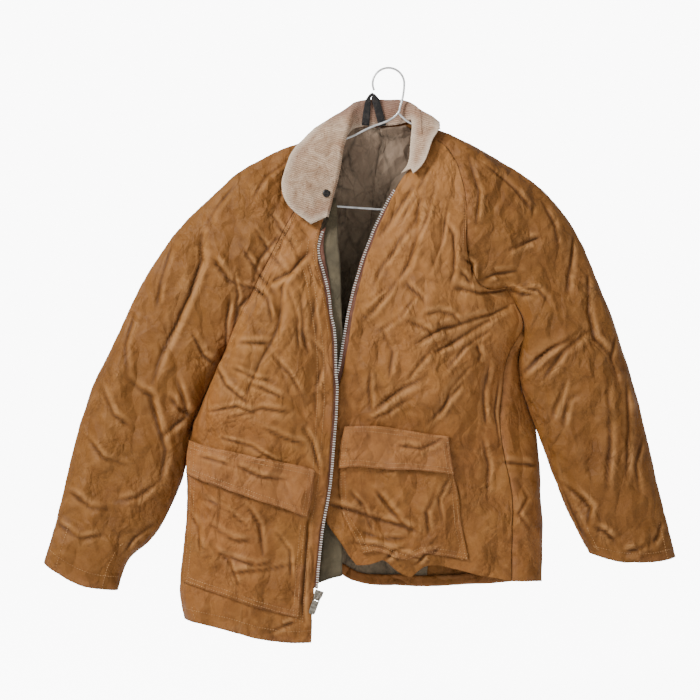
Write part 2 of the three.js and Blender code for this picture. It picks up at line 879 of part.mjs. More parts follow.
function collarPanel() {
  const folds = smooth(COLLAR.map((row) => ({ x: row.fx, y: row.fy, z: row.fz })));
  const edges = smooth(COLLAR.map((row) => ({ x: row.ex, y: row.ey, z: row.ez })));
  const numbered = COLLAR.map((row, index) => ({ ...row, index }));
  const last = COLLAR.length - 1;
  const grid = [];
  for (let k = 0; k <= COLLAR_STATIONS; k += 1) {
    const share = k / COLLAR_STATIONS;
    const fold = folds.getPoint(share);
    const edge = edges.getPoint(share);
    const round = read(numbered, "index", "round", share * last);
    const mark = read(numbered, "index", "mark", share * last);
    const seam = onNeck(mark);
    const ahead = onNeck(mark + 0.1).sub(onNeck(mark - 0.1)).normalize();
    const rise = fold.clone().sub(seam).normalize();
    const inward = ahead.clone().cross(rise).normalize();
    const fromBack = (mark - NECK_MARK.centreBack) / 1.6;
    const inset = STAND_INSET - STAND_CLOSER * Math.exp(-fromBack * fromBack);
    const base = seam.clone().addScaledVector(inward, inset).addScaledVector(rise, 1);
    const up = fold.clone().sub(base).normalize();
    const fall = edge.clone().sub(fold).normalize();
    const over = fall.clone().addScaledVector(up, -fall.dot(up)).normalize();
    const turnBack = Math.max(0, -fall.dot(up));
    const standTop = fold.clone().addScaledVector(up, -round).addScaledVector(over, -0.8 * round);
    const leafTop = fold
      .clone()
      .addScaledVector(over, round)
      .addScaledVector(up, -round * turnBack);
    const belly = mix(leafTop, edge, 0.5)
      .addScaledVector(over, 0.4 * round)
      .addScaledVector(up, 0.3 * round);
    const path = smooth([base, standTop, fold, leafTop, belly, edge]);
    grid.push(COLLAR_PATH.map((step) => path.getPoint(step / 5)));
  }
  return { grid, normals: normalsOf(grid, -1), facing: -1 };
}
const collar = collarPanel();
const UNDER_COLLAR_STATIONS = [2, COLLAR_STATIONS - 5];
const underCollar = cut(collar, [0, COLLAR_PATH.length - 1], UNDER_COLLAR_STATIONS);

// ---------- strips: tapes, guard, facing, loop ----------

const strip = (grid, facing) => ({ grid, normals: normalsOf(grid, facing), facing });

// The first two points of a row, where the row's number may fall between two rows.
function betweenRows(grid, at) {
  const low = Math.floor(at);
  const high = Math.ceil(at);
  return [0, 1].map((i) => mix(grid[low][i], grid[high][i], at - low));
}

// Zip tape along a front's edge: under the cloth on one side, past its edge on the other.
const TAPE_UNDER = 6;
function zipTape(panel, fromRow, toRow, beyond) {
  const rows = [];
  for (let j = fromRow; j < toRow + 1; j += 1) {
    const at = Math.min(j, toRow);
    const [edge, next] = betweenRows(panel.grid, at);
    const [edgeNormal, nextNormal] = betweenRows(panel.normals, at);
    const width = edge.distanceTo(next);
    const depth = CLOTH + LAY_GAP;
    const under = edge.clone().addScaledVector(edgeNormal, -depth);
    const underNext = next.clone().addScaledVector(nextNormal, -depth);
    const tucked = mix(under, underNext, TAPE_UNDER / width);
    const outwards = under.clone().sub(underNext).normalize();
    const clear = under.clone().addScaledVector(outwards, read(beyond, "z", "reach", edge.z));
    rows.push([tucked, under, clear]);
  }
  return strip(rows, -panel.facing);
}
const TAPE_REACH_RIGHT = table("z reach", [
  [-250, 14],
  [-330, 13],
  [-380, 6],
  [-790, 6],
]);
const TAPE_REACH_LEFT = table("z reach", [
  [-185, 4],
  [-250, 6],
  [-350, 9],
  [-450, 9],
  [-712, 5],
]);
const TAPE_END = { right: 20.4, left: 20 }; // rows of the fronts
const tapeRight = zipTape(frontRight, NECK_ROWS, TAPE_END.right, TAPE_REACH_RIGHT);
const tapeLeft = zipTape(frontLeft, NECK_ROWS, TAPE_END.left, TAPE_REACH_LEFT);

// The guard hangs behind the right front's zip, and behind the left front lower down.
const GUARD = table("z right behind", [
  [-197, -79, 12],
  [-250, -77, 9.6],
  [-300, -73, 8.6],
  [-350, -72, 7.6],
  [-380, -70, 11],
  [-410, -70, 19],
  [-450, -70, 23],
  [-500, -70, 25],
  [-560, -70, 25],
  [-620, -70, 25],
  [-680, -72, 23],
  [-730, -76, 19],
  [-768, -77, 16],
]);
const GUARD_LEFT_END = -779;
const GUARD_ROWS = 20;
function zipGuard() {
  const edge = smooth([...NECKLINE.slice(1, 4).reverse(), ...ZIP_EDGE_RIGHT].map(point));
  const rows = [];
  const count = GUARD_ROWS;
  for (let k = 0; k <= count; k += 1) {
    const z = GUARD[0].z + ((GUARD[GUARD.length - 1].z - GUARD[0].z) * k) / count;
    const start = atHeight(edge, z);
    const behind = read(GUARD, "z", "behind", z);
    const left = new THREE.Vector3(start.x + 5, start.y + behind, z);
    const right = new THREE.Vector3(read(GUARD, "z", "right", z), start.y + behind + 0.6, z);
    if (k === count) left.z = GUARD_LEFT_END;
    rows.push([left, mix(left, right, 0.5), right]);
  }
  return strip(rows, 1);
}
const guard = zipGuard();

// The turned strip inside the back hem, from the vent to past where the fronts part.
const FACING_HEIGHT = 16;
const FACING_CELLS = 8;
function hemFacing(panel) {
  const hemRow = panel.grid[DOWN];
  const aboveRow = panel.grid[DOWN - 1];
  const rows = [[], []];
  const inside = (p, n) => p.clone().addScaledVector(n, -(CLOTH + LINING + 3 * LAY_GAP));
  for (let i = 0; i <= FACING_CELLS; i += 1) {
    const low = inside(hemRow[i], panel.normals[DOWN][i]);
    const high = inside(aboveRow[i], panel.normals[DOWN - 1][i]);
    rows[1].push(low);
    rows[0].push(mix(low, high, FACING_HEIGHT / low.distanceTo(high)));
  }
  return strip(rows, panel.facing);
}
const facing = hemFacing(backLeft);

const HANG_LOOP = table("x y z", [
  [-35, 9.7, -85],
  [-33, 8.7, -65],
  [-31, 8.7, -48],
  [-29, 8.7, -41],
  [-25, 8.4, -38],
  [-21, 8.7, -42],
  [-17, 8.7, -55],
  [-13, 9.2, -70],
  [-9, 9.7, -86],
]);
// The tape is folded narrow where it turns over at the top.
const LOOP = { wide: 8, folded: 4, topShare: 0.36, rows: 14 };
function hangLoop() {
  const middle = smooth(HANG_LOOP);
  const count = LOOP.rows;
  const rows = [];
  for (let k = 0; k <= count; k += 1) {
    const centre = middle.getPoint(k / count);
    const along = middle.getTangent(k / count);
    const aside = along.clone().cross(new THREE.Vector3(0, 1, 0)).normalize();
    const fromTop = Math.abs(k / count - LOOP.topShare);
    const half = 0.5 * Math.min(LOOP.wide, LOOP.folded * (1 + 4 * fromTop));
    rows.push([
      centre.clone().addScaledVector(aside, -half),
      centre.clone().addScaledVector(aside, half),
    ]);
  }
  return strip(rows, 1);
}
const loop = hangLoop();

// ---------- pockets and flaps ----------

const POCKET_COLUMNS = { right: [1, 13], left: [1, 9] };
const POCKET_LIFT = LAY_GAP + CLOTH; // outer face of a pocket over its front
const FLAP_LIFT = 2 * POCKET_LIFT;
const pocketOn = (panel, columns) =>
  layer(cut(panel, columns, [POCKET_ROWS.flapTop, POCKET_ROWS.bottom]), -POCKET_LIFT, CLOTH);
const flapOn = (panel, columns) =>
  layer(cut(panel, columns, [POCKET_ROWS.flapTop, POCKET_ROWS.flapBottom]), -FLAP_LIFT, CLOTH);

// ---------- hard parts ----------

const SLIDER = { x: -104, y: -46, z: -789, tilt: THREE.MathUtils.degToRad(20) };
const SLIDER_BODY = { width: 13, height: 15, depth: 6 };
const BRIDGE = { width: 3, reach: 4.6, height: 11, bar: 1.5 };
const PULL = { width: 10, length: 31, thick: 1.4, eyeWidth: 6, eyeHeight: 9, pin: 0.9 };

// A closed three.js geometry as a manifold-3d solid.
function solidOf(geometry) {
  const loose = geometry.index ? geometry.toNonIndexed() : geometry;
  const source = loose.attributes.position.array;
  const seen = new Map();
  const vertProperties = [];
  const triVerts = [];
  for (let k = 0; k < source.length; k += 3) {
    const corner = [source[k], source[k + 1], source[k + 2]];
    const name = corner.map((value) => Math.round(value * 1e4)).join();
    if (!seen.has(name)) {
      seen.set(name, seen.size);
      vertProperties.push(...corner);
    }
    triVerts.push(seen.get(name));
  }
  return new wasm.Manifold(
    new wasm.Mesh({
      numProp: 3,
      vertProperties: new Float32Array(vertProperties),
      triVerts: new Uint32Array(triVerts),
    }),
  );
}

function geometryOf(solid) {
  const { vertProperties, triVerts } = solid.getMesh();
  const geometry = new THREE.BufferGeometry();
  geometry.setAttribute("position", new THREE.Float32BufferAttribute(vertProperties, 3));
  geometry.setIndex(new THREE.Uint32BufferAttribute(triVerts, 1));
  return geometry;
}

// The slider stands with its top at z = 0 and its front face at y = 0.
function sliderGeometry() {
  const { width, height, depth } = SLIDER_BODY;
  const plan = new THREE.Shape();
  plan.moveTo(-width / 2, 0);
  plan.lineTo(-width / 2, -height * 0.45);
  plan.lineTo(-width / 3, -height);
  plan.lineTo(width / 3, -height);
  plan.lineTo(width / 2, -height * 0.45);
  plan.lineTo(width / 2, 0);
  const body = new THREE.ExtrudeGeometry(plan, { depth, bevelEnabled: false });
  body.rotateX(Math.PI / 2);
  body.translate(0, depth, 0);
  const arch = new THREE.Shape();
  const half = BRIDGE.height / 2;
  arch.moveTo(1, half);
  arch.lineTo(-BRIDGE.reach * 0.7, half);
  arch.lineTo(-BRIDGE.reach, half * 0.5);
  arch.lineTo(-BRIDGE.reach, -half * 0.5);
  arch.lineTo(-BRIDGE.reach * 0.7, -half);
  arch.lineTo(1, -half);
  const eye = new THREE.Path();
  const room = half - BRIDGE.bar;
  eye.moveTo(-0.01, room);
  eye.lineTo(-0.01, -room);
  eye.lineTo(-BRIDGE.reach + BRIDGE.bar, -room);
  eye.lineTo(-BRIDGE.reach + BRIDGE.bar, room);
  arch.holes.push(eye);
  const bridge = new THREE.ExtrudeGeometry(arch, { depth: BRIDGE.width, bevelEnabled: false });
  bridge.applyMatrix4(
    new THREE.Matrix4().makeBasis(
      new THREE.Vector3(0, 1, 0),
      new THREE.Vector3(0, 0, 1),
      new THREE.Vector3(1, 0, 0),
    ),
  );
  bridge.translate(-BRIDGE.width / 2, 0, -height / 2);
  return { body, bridge };
}

const group = new THREE.Group();
const add = (name, geometry, colour, roughness, metalness, parent = group) => {
  const material = new THREE.MeshStandardMaterial({ color: colour, roughness, metalness });
  const mesh = new THREE.Mesh(geometry, material);
  mesh.name = name;
  parent.add(mesh);
  return mesh;
};

const TAN = 0xa97246;
const TAN_SHADE = 0x8f5f33;
const CORD_PINK = 0xc8aa91;
const TAUPE = 0x6e5f4b;
const OLIVE = 0x7d785a;
const BLACK = 0x26221f;
const SILVER = 0xc9c9c6;
const PEWTER = 0x6c6a66;
const TAPE_PINK = 0xa57360;
const WAXED = 0.62; // roughness

add("front_right", shell(frontRight, CLOTH), TAN, WAXED, 0);
add("front_left", shell(frontLeft, CLOTH), TAN, WAXED, 0);
add("back_right", shell(backRight, CLOTH), TAN_SHADE, WAXED, 0);
add("back_left", shell(backLeft, CLOTH), TAN_SHADE, WAXED, 0);
add("sleeve_right_front", shell(sleeveRightFront, CLOTH), TAN, WAXED, 0);
add("sleeve_right_back", shell(sleeveRightBack, CLOTH), TAN, WAXED, 0);
add("sleeve_left_front", shell(sleeveLeftFront, CLOTH), TAN, WAXED, 0);
add("sleeve_left_back", shell(sleeveLeftBack, CLOTH), TAN, WAXED, 0);

const LINING_COLUMNS = [0, 4];
const liningOf = (panel) =>
  layer(cut(panel, LINING_COLUMNS, [0, DOWN]), CLOTH + LAY_GAP, LINING);
add("back_lining_right", liningOf(backRight), TAUPE, 0.8, 0);
add("back_lining_left", liningOf(backLeft), TAUPE, 0.8, 0);
add("back_hem_facing", shell(facing, LINING), TAN_SHADE, 0.65, 0);
add("collar", shell(collar, CORDUROY), CORD_PINK, 0.9, 0);
add("under_collar", layer(underCollar, CORDUROY + 1.5 * LAY_GAP, LINING), TAN_SHADE, 0.65, 0);
add("zip_tape_right", shell(tapeRight, TAPE), TAPE_PINK, 0.85, 0);
add("zip_tape_left", shell(tapeLeft, TAPE), TAPE_PINK, 0.85, 0);
add("zip_guard", shell(guard, TAPE), OLIVE, 0.8, 0);
add("pocket_right", pocketOn(frontRight, POCKET_COLUMNS.right), TAN, WAXED, 0);
add("pocket_left", pocketOn(frontLeft, POCKET_COLUMNS.left), TAN, WAXED, 0);
add("flap_right", flapOn(frontRight, POCKET_COLUMNS.right), TAN, WAXED, 0);
add("flap_left", flapOn(frontLeft, POCKET_COLUMNS.left), TAN, WAXED, 0);
add("hang_loop", shell(loop, TAPE), BLACK, 0.9, 0);

// The slider and its pull tab share a frame tilted with the end of the zip.
const zipEnd = new THREE.Group();
zipEnd.position.set(SLIDER.x, SLIDER.y - SLIDER_BODY.depth / 2, SLIDER.z);
zipEnd.rotation.y = SLIDER.tilt;
group.add(zipEnd);
const { body: sliderBody, bridge: sliderBridge } = sliderGeometry();
add(
  "zip_slider",
  geometryOf(solidOf(sliderBody).add(solidOf(sliderBridge))),
  PEWTER,
  0.4,
  0.9,
  zipEnd,
);

function pullGeometry() {
  const { width, length, thick, eyeWidth, eyeHeight, pin } = PULL;
  const half = width / 2;
  const plate = new THREE.Shape();
  plate.moveTo(-half, pin);
  plate.lineTo(-half, -length + 4);
  plate.quadraticCurveTo(-half, -length, -half + 4, -length);
  plate.lineTo(half - 4, -length);
  plate.quadraticCurveTo(half, -length, half, -length + 4);
  plate.lineTo(half, pin);
  const eye = new THREE.Path();
  eye.moveTo(-eyeWidth / 2, -pin);
  eye.lineTo(eyeWidth / 2, -pin);
  eye.lineTo(eyeWidth / 2, -pin - eyeHeight);
  eye.lineTo(-eyeWidth / 2, -pin - eyeHeight);
  plate.holes.push(eye);
  const geometry = new THREE.ExtrudeGeometry(plate, {
    depth: thick,
    bevelEnabled: false,
    curveSegments: 3,
  });
  geometry.rotateX(Math.PI / 2);
  geometry.translate(0, thick / 2, 0);
  return geometry;
}
const pull = add("zip_pull_tab", pullGeometry(), PEWTER, 0.4, 0.9, zipEnd);
pull.position.set(0, -(BRIDGE.reach - BRIDGE.bar) / 2, -SLIDER_BODY.height / 2 + BRIDGE.bar);

// The collar leaf's snap.
const SNAP = { x: -94, y: -44.3, z: -192, radius: 6, thick: 2.4, lean: 0.137 };
const snapProfile = [
  new THREE.Vector2(0, 0),
  new THREE.Vector2(SNAP.radius, 0),
  new THREE.Vector2(SNAP.radius, SNAP.thick * 0.5),
  new THREE.Vector2(SNAP.radius * 0.7, SNAP.thick),
  new THREE.Vector2(0, SNAP.thick),
];
const snap = add("collar_snap", new THREE.LatheGeometry(snapProfile, 14), BLACK, 0.5, 0.3);
snap.position.set(SNAP.x, SNAP.y, SNAP.z);
snap.rotation.x = Math.PI;
snap.rotation.z = -SNAP.lean;

// ---------- hanger ----------
const HANGER_LEFT_END = table("x z", [
  [15, -67],
  [-30, -90],
  [-68, -107],
  [-100, -111.5],
  [-140, -119.6],
  [-176, -136],
  [-198, -160],
  [-205, -182],
  [-203, -195],
  [-190, -200.5],
  [-150, -203.6],
  [-77, -209],
  [4, -215],
]);
const HANGER_RIGHT_END = table("x z", [
  [2, -214.9],
  [60, -219.2],
  [140, -225.2],
  [196, -229.3],
  [208, -226],
  [212, -214],
  [206, -192],
  [190, -166],
  [150, -136],
  [90, -104.5],
  [56, -89.5],
  [30, -80.5],
  [22, -74],
  [15.5, -67.5],
]);
const HOOK_CENTRE_Z = WIRE / 2 - HOOK_RADIUS;
function hookPoints() {
  const points = [];
  const start = THREE.MathUtils.degToRad(205);
  const steps = 12;
  for (let k = 0; k <= steps; k += 1) {
    const angle = start - (start * k) / steps;
    points.push({
      x: HOOK_RADIUS * Math.cos(angle),
      y: HANGER_Y,
      z: HOOK_CENTRE_Z + HOOK_RADIUS * Math.sin(angle),
    });
  }
  points.push({ x: 22, y: HANGER_Y, z: -42 });
  points.push({ x: 18, y: HANGER_Y, z: -57 });
  return points;
}
function wire(points, steps) {
  const corners = Array.from({ length: WIRE_SIDES }, (_, k) => {
    const angle = (2 * Math.PI * k) / WIRE_SIDES;
    return new THREE.Vector2(Math.cos(angle), Math.sin(angle)).multiplyScalar(WIRE / 2);
  });
  return new THREE.ExtrudeGeometry(new THREE.Shape(corners), {
    steps,
    bevelEnabled: false,
    extrudePath: smooth(points),
  });
}
const inPlane = (rows) => rows.map((row) => ({ x: row.x, y: HANGER_Y, z: row.z }));
const hangerSolid = solidOf(wire([...hookPoints(), ...inPlane(HANGER_LEFT_END)], 52)).add(
  solidOf(wire(inPlane(HANGER_RIGHT_END), 30)),
);
add("hanger", geometryOf(hangerSolid), SILVER, 0.3, 1);

export default group;
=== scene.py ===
import math

import bmesh
import bpy
import numpy as np
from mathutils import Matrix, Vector
from mathutils.bvhtree import BVHTree
from mathutils.kdtree import KDTree


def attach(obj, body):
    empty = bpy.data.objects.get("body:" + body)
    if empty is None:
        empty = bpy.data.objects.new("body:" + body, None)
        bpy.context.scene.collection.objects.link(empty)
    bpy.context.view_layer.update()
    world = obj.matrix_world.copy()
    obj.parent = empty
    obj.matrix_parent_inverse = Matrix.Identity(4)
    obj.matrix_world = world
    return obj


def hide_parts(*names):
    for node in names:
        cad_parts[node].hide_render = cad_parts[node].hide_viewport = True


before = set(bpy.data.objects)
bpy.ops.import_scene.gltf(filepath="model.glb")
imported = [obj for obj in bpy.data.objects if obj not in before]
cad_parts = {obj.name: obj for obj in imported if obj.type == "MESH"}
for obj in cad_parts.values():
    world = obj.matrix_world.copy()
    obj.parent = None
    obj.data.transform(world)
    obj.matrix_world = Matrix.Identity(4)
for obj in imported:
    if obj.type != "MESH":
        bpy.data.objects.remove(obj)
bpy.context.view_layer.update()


# ---------------------------------------------------------------------------
# Body and sleeves: tan waxed cotton over a thin wadding, cut as raglan panels and sewn
# edge to edge. Hung and handled for years, it holds sharp creases between soft swells.
# ---------------------------------------------------------------------------

MM = 0.001


def linear(red, green, blue, alpha=1.0):
    """A colour given as 0-255 display values, as Blender's linear values."""
    def one(value):
        value /= 255.0
        return value / 12.92 if value <= 0.04045 else ((value + 0.055) / 1.055) ** 2.4
    return (one(red), one(green), one(blue), alpha)


SHARP = math.radians(50)  # cloth edges bend more than this at a rim, and less elsewhere


def sheets_of(form):
    """The two large faces of a cloth solid, as lists of faces: its sharp rims part them."""
    seen = set()
    found = []
    for face in form.faces:
        if face.index in seen:
            continue
        seen.add(face.index)
        group = [face]
        for member in group:
            for edge in member.edges:
                if len(edge.link_faces) == 2 and edge.calc_face_angle() < SHARP:
                    for other in edge.link_faces:
                        if other.index not in seen:
                            seen.add(other.index)
                            group.append(other)
        found.append(group)
    found.sort(key=lambda group: -sum(face.calc_area() for face in group))
    return found[:2]


def merged(node):
    """A CAD node's mesh as a bmesh of shared points and four-sided cells."""
    form = bmesh.new()
    form.from_mesh(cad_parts[node].data)
    bmesh.ops.remove_doubles(form, verts=form.verts, dist=0.003 * MM)
    bmesh.ops.join_triangles(
        form, faces=form.faces,
        angle_face_threshold=math.radians(42), angle_shape_threshold=math.radians(70),
    )
    form.normal_update()
    form.faces.index_update()
    return form


def rim_of(form, towards):
    """The closed line round a cloth solid's outer face. towards picks that face of the two:
    a direction it looks in."""
    two = sheets_of(form)
    aim = Vector(towards)
    outer = max(two, key=lambda group: sum(f.calc_area() * f.normal.dot(aim) for f in group))
    inside = {face.index for face in outer}
    rim = [
        edge for face in outer for edge in face.edges
        if sum(other.index in inside for other in edge.link_faces) == 1
    ]
    steps = {}
    for edge in rim:
        a, b = edge.verts
        steps.setdefault(a, []).append(b)
        steps.setdefault(b, []).append(a)
    start = rim[0].verts[0]
    line, before, at = [start.co.copy()], None, start
    while True:
        after = [v for v in steps[at] if v is not before]
        if not after or after[0] is start and before is not None or len(line) > 4000:
            break
        before, at = at, after[0]
        line.append(at.co.copy())
    return line


def smooth(mesh):
    mesh.polygons.foreach_set("use_smooth", np.ones(len(mesh.polygons), bool))


def placed(name, data):
    """A new object in the scene."""
    obj = bpy.data.objects.new(name, data)
    bpy.context.scene.collection.objects.link(obj)
    return obj


def evaluated(obj):
    """A plain mesh of an object with its modifiers or bevel applied."""
    graph = bpy.context.evaluated_depsgraph_get()
    return bpy.data.meshes.new_from_object(obj.evaluated_get(graph), depsgraph=graph)


def refined(node, name, levels):
    """A finer solid on a CAD node's own form: cells divided smoothly, rims kept crisp."""
    form = merged(node)
    crease = form.edges.layers.float.new("crease_edge")
    for edge in form.edges:
        if len(edge.link_faces) == 2 and edge.calc_face_angle() > SHARP:
            edge[crease] = 1.0
    mesh = bpy.data.meshes.new(name)
    form.to_mesh(mesh)
    form.free()
    obj = placed(name, mesh)
    divide = obj.modifiers.new("divide", "SUBSURF")
    divide.levels = divide.render_levels = levels
    fine = evaluated(obj)
    obj.modifiers.remove(divide)
    obj.data = fine
    bpy.data.meshes.remove(mesh)
    if "crease_edge" in fine.attributes:
        fine.attributes.remove(fine.attributes["crease_edge"])
    smooth(fine)
    return obj


def points_of(obj):
    """An object's points as an array of millimetres."""
    co = np.empty(len(obj.data.vertices) * 3, np.float32)
    obj.data.vertices.foreach_get("co", co)
    return co.reshape(-1, 3).astype(np.float64) / MM


def set_points(obj, points):
    obj.data.vertices.foreach_set("co", (points * MM).astype(np.float32).ravel())
    obj.data.update()


CELLS = 64  # the random lattices repeat after this many cells
FAR = 1000  # cells, so that places on the lattice are never negative


def cells(u, w):
    """Each place's cell on a lattice, the next cell, and how far across the cell it lies."""
    i, k = np.floor(u).astype(int), np.floor(w).astype(int)
    return i % CELLS, (i + 1) % CELLS, k % CELLS, (k + 1) % CELLS, u - i, w - k


def noise2(x, z, size, seed):
    """Smooth random values from -1 to 1, changing over `size` millimetres."""
    lattice = np.random.default_rng(seed).uniform(-1, 1, (CELLS, CELLS))
    i0, i1, k0, k1, fu, fw = cells(x / size + FAR, z / size + FAR)
    fu, fw = fu * fu * (3 - 2 * fu), fw * fw * (3 - 2 * fw)
    top = lattice[i0, k0] * (1 - fu) + lattice[i1, k0] * fu
    low = lattice[i0, k1] * (1 - fu) + lattice[i1, k1] * fu
    return top * (1 - fw) + low * fw


def facets(x, z, size, seed, lean=0.0, stretch=1.6):
    """Heights from -1 to 1 like crumpled paper: flat three-sided facets, longer than they
    are wide, that meet in straight creases."""
    lattice = np.random.default_rng(seed).uniform(-1, 1, (CELLS, CELLS))
    bend = 0.24 * size
    xs = x + bend * noise2(x, z, size * 1.1, seed + 1)
    zs = z + bend * noise2(x, z, size * 1.1, seed + 2)
    c, s = math.cos(lean), math.sin(lean)
    u = (xs * c + zs * s) / size + FAR
    w = (zs * c - xs * s) / (size * stretch) + FAR
    skew = (u + w) * 0.366  # turns square cells into pairs of even-sided triangles
    i0, i1, k0, k1, fu, fw = cells(u + skew, w + skew)
    beside = np.where(fu > fw, lattice[i1, k0], lattice[i0, k1])
    more, less = np.maximum(fu, fw), np.minimum(fu, fw)
    return lattice[i0, k0] * (1 - more) + beside * (more - less) + lattice[i1, k1] * less


def crease_lines(x, z, table):
    """How far the listed creases sink the cloth at each point, in millimetres. Each is (depth, width, x, z,
    x, z, ...): a sharp valley with soft banks that fades at both ends, or a soft ridge where the depth is
    negative."""
    total = np.zeros(x.shape)
    for number, (depth, width, *line) in enumerate(table):
        nodes = np.array(line, float).reshape(-1, 2)
        runs = np.hypot(*(nodes[1:] - nodes[:-1]).T)
        begun = 0.0
        low, high = nodes.min(axis=0) - 6 * width, nodes.max(axis=0) + 6 * width
        near = (x > low[0]) & (x < high[0]) & (z > low[1]) & (z < high[1])
        if not near.any():
            continue
        px, pz = x[near], z[near]
        apart = np.full(px.shape, 1e9)
        signed, along = apart, np.zeros(px.shape)
        for (x0, z0), (x1, z1), run in zip(nodes[:-1], nodes[1:], runs):
            dx, dz = (x1 - x0) / run, (z1 - z0) / run
            t = np.clip((px - x0) * dx + (pz - z0) * dz, 0, run)
            off = np.hypot(px - x0 - dx * t, pz - z0 - dz * t)
            closer = off < apart
            apart = np.where(closer, off, apart)
            along = np.where(closer, begun + t, along)
            above = np.sign((px - x0) * dz - (pz - z0) * dx) * math.copysign(1.0, dz - 0.4 * dx)
            signed = np.where(closer, off * above, signed)
            begun += run
        share = along / runs.sum()
        taper = np.clip(np.minimum(share, 1 - share) * 4 + 0.15, 0, 1) ** 0.7
        wave = 1 + 0.3 * np.sin(share * (5 + number % 4) + number)
        if depth > 0:
            valley = np.exp(-(np.hypot(apart, 1.2) - 1.2) / (0.34 * width))
            high_bank = np.exp(-((signed - 1.2 * width) / (0.8 * width)) ** 2)
            low_bank = np.exp(-((signed + 2.0 * width) / width) ** 2)
            form = valley - 0.55 * high_bank - 0.15 * low_bank
        else:
            form = np.exp(-(apart / width) ** 2)
        total[near] += depth * taper * wave * form
    return total


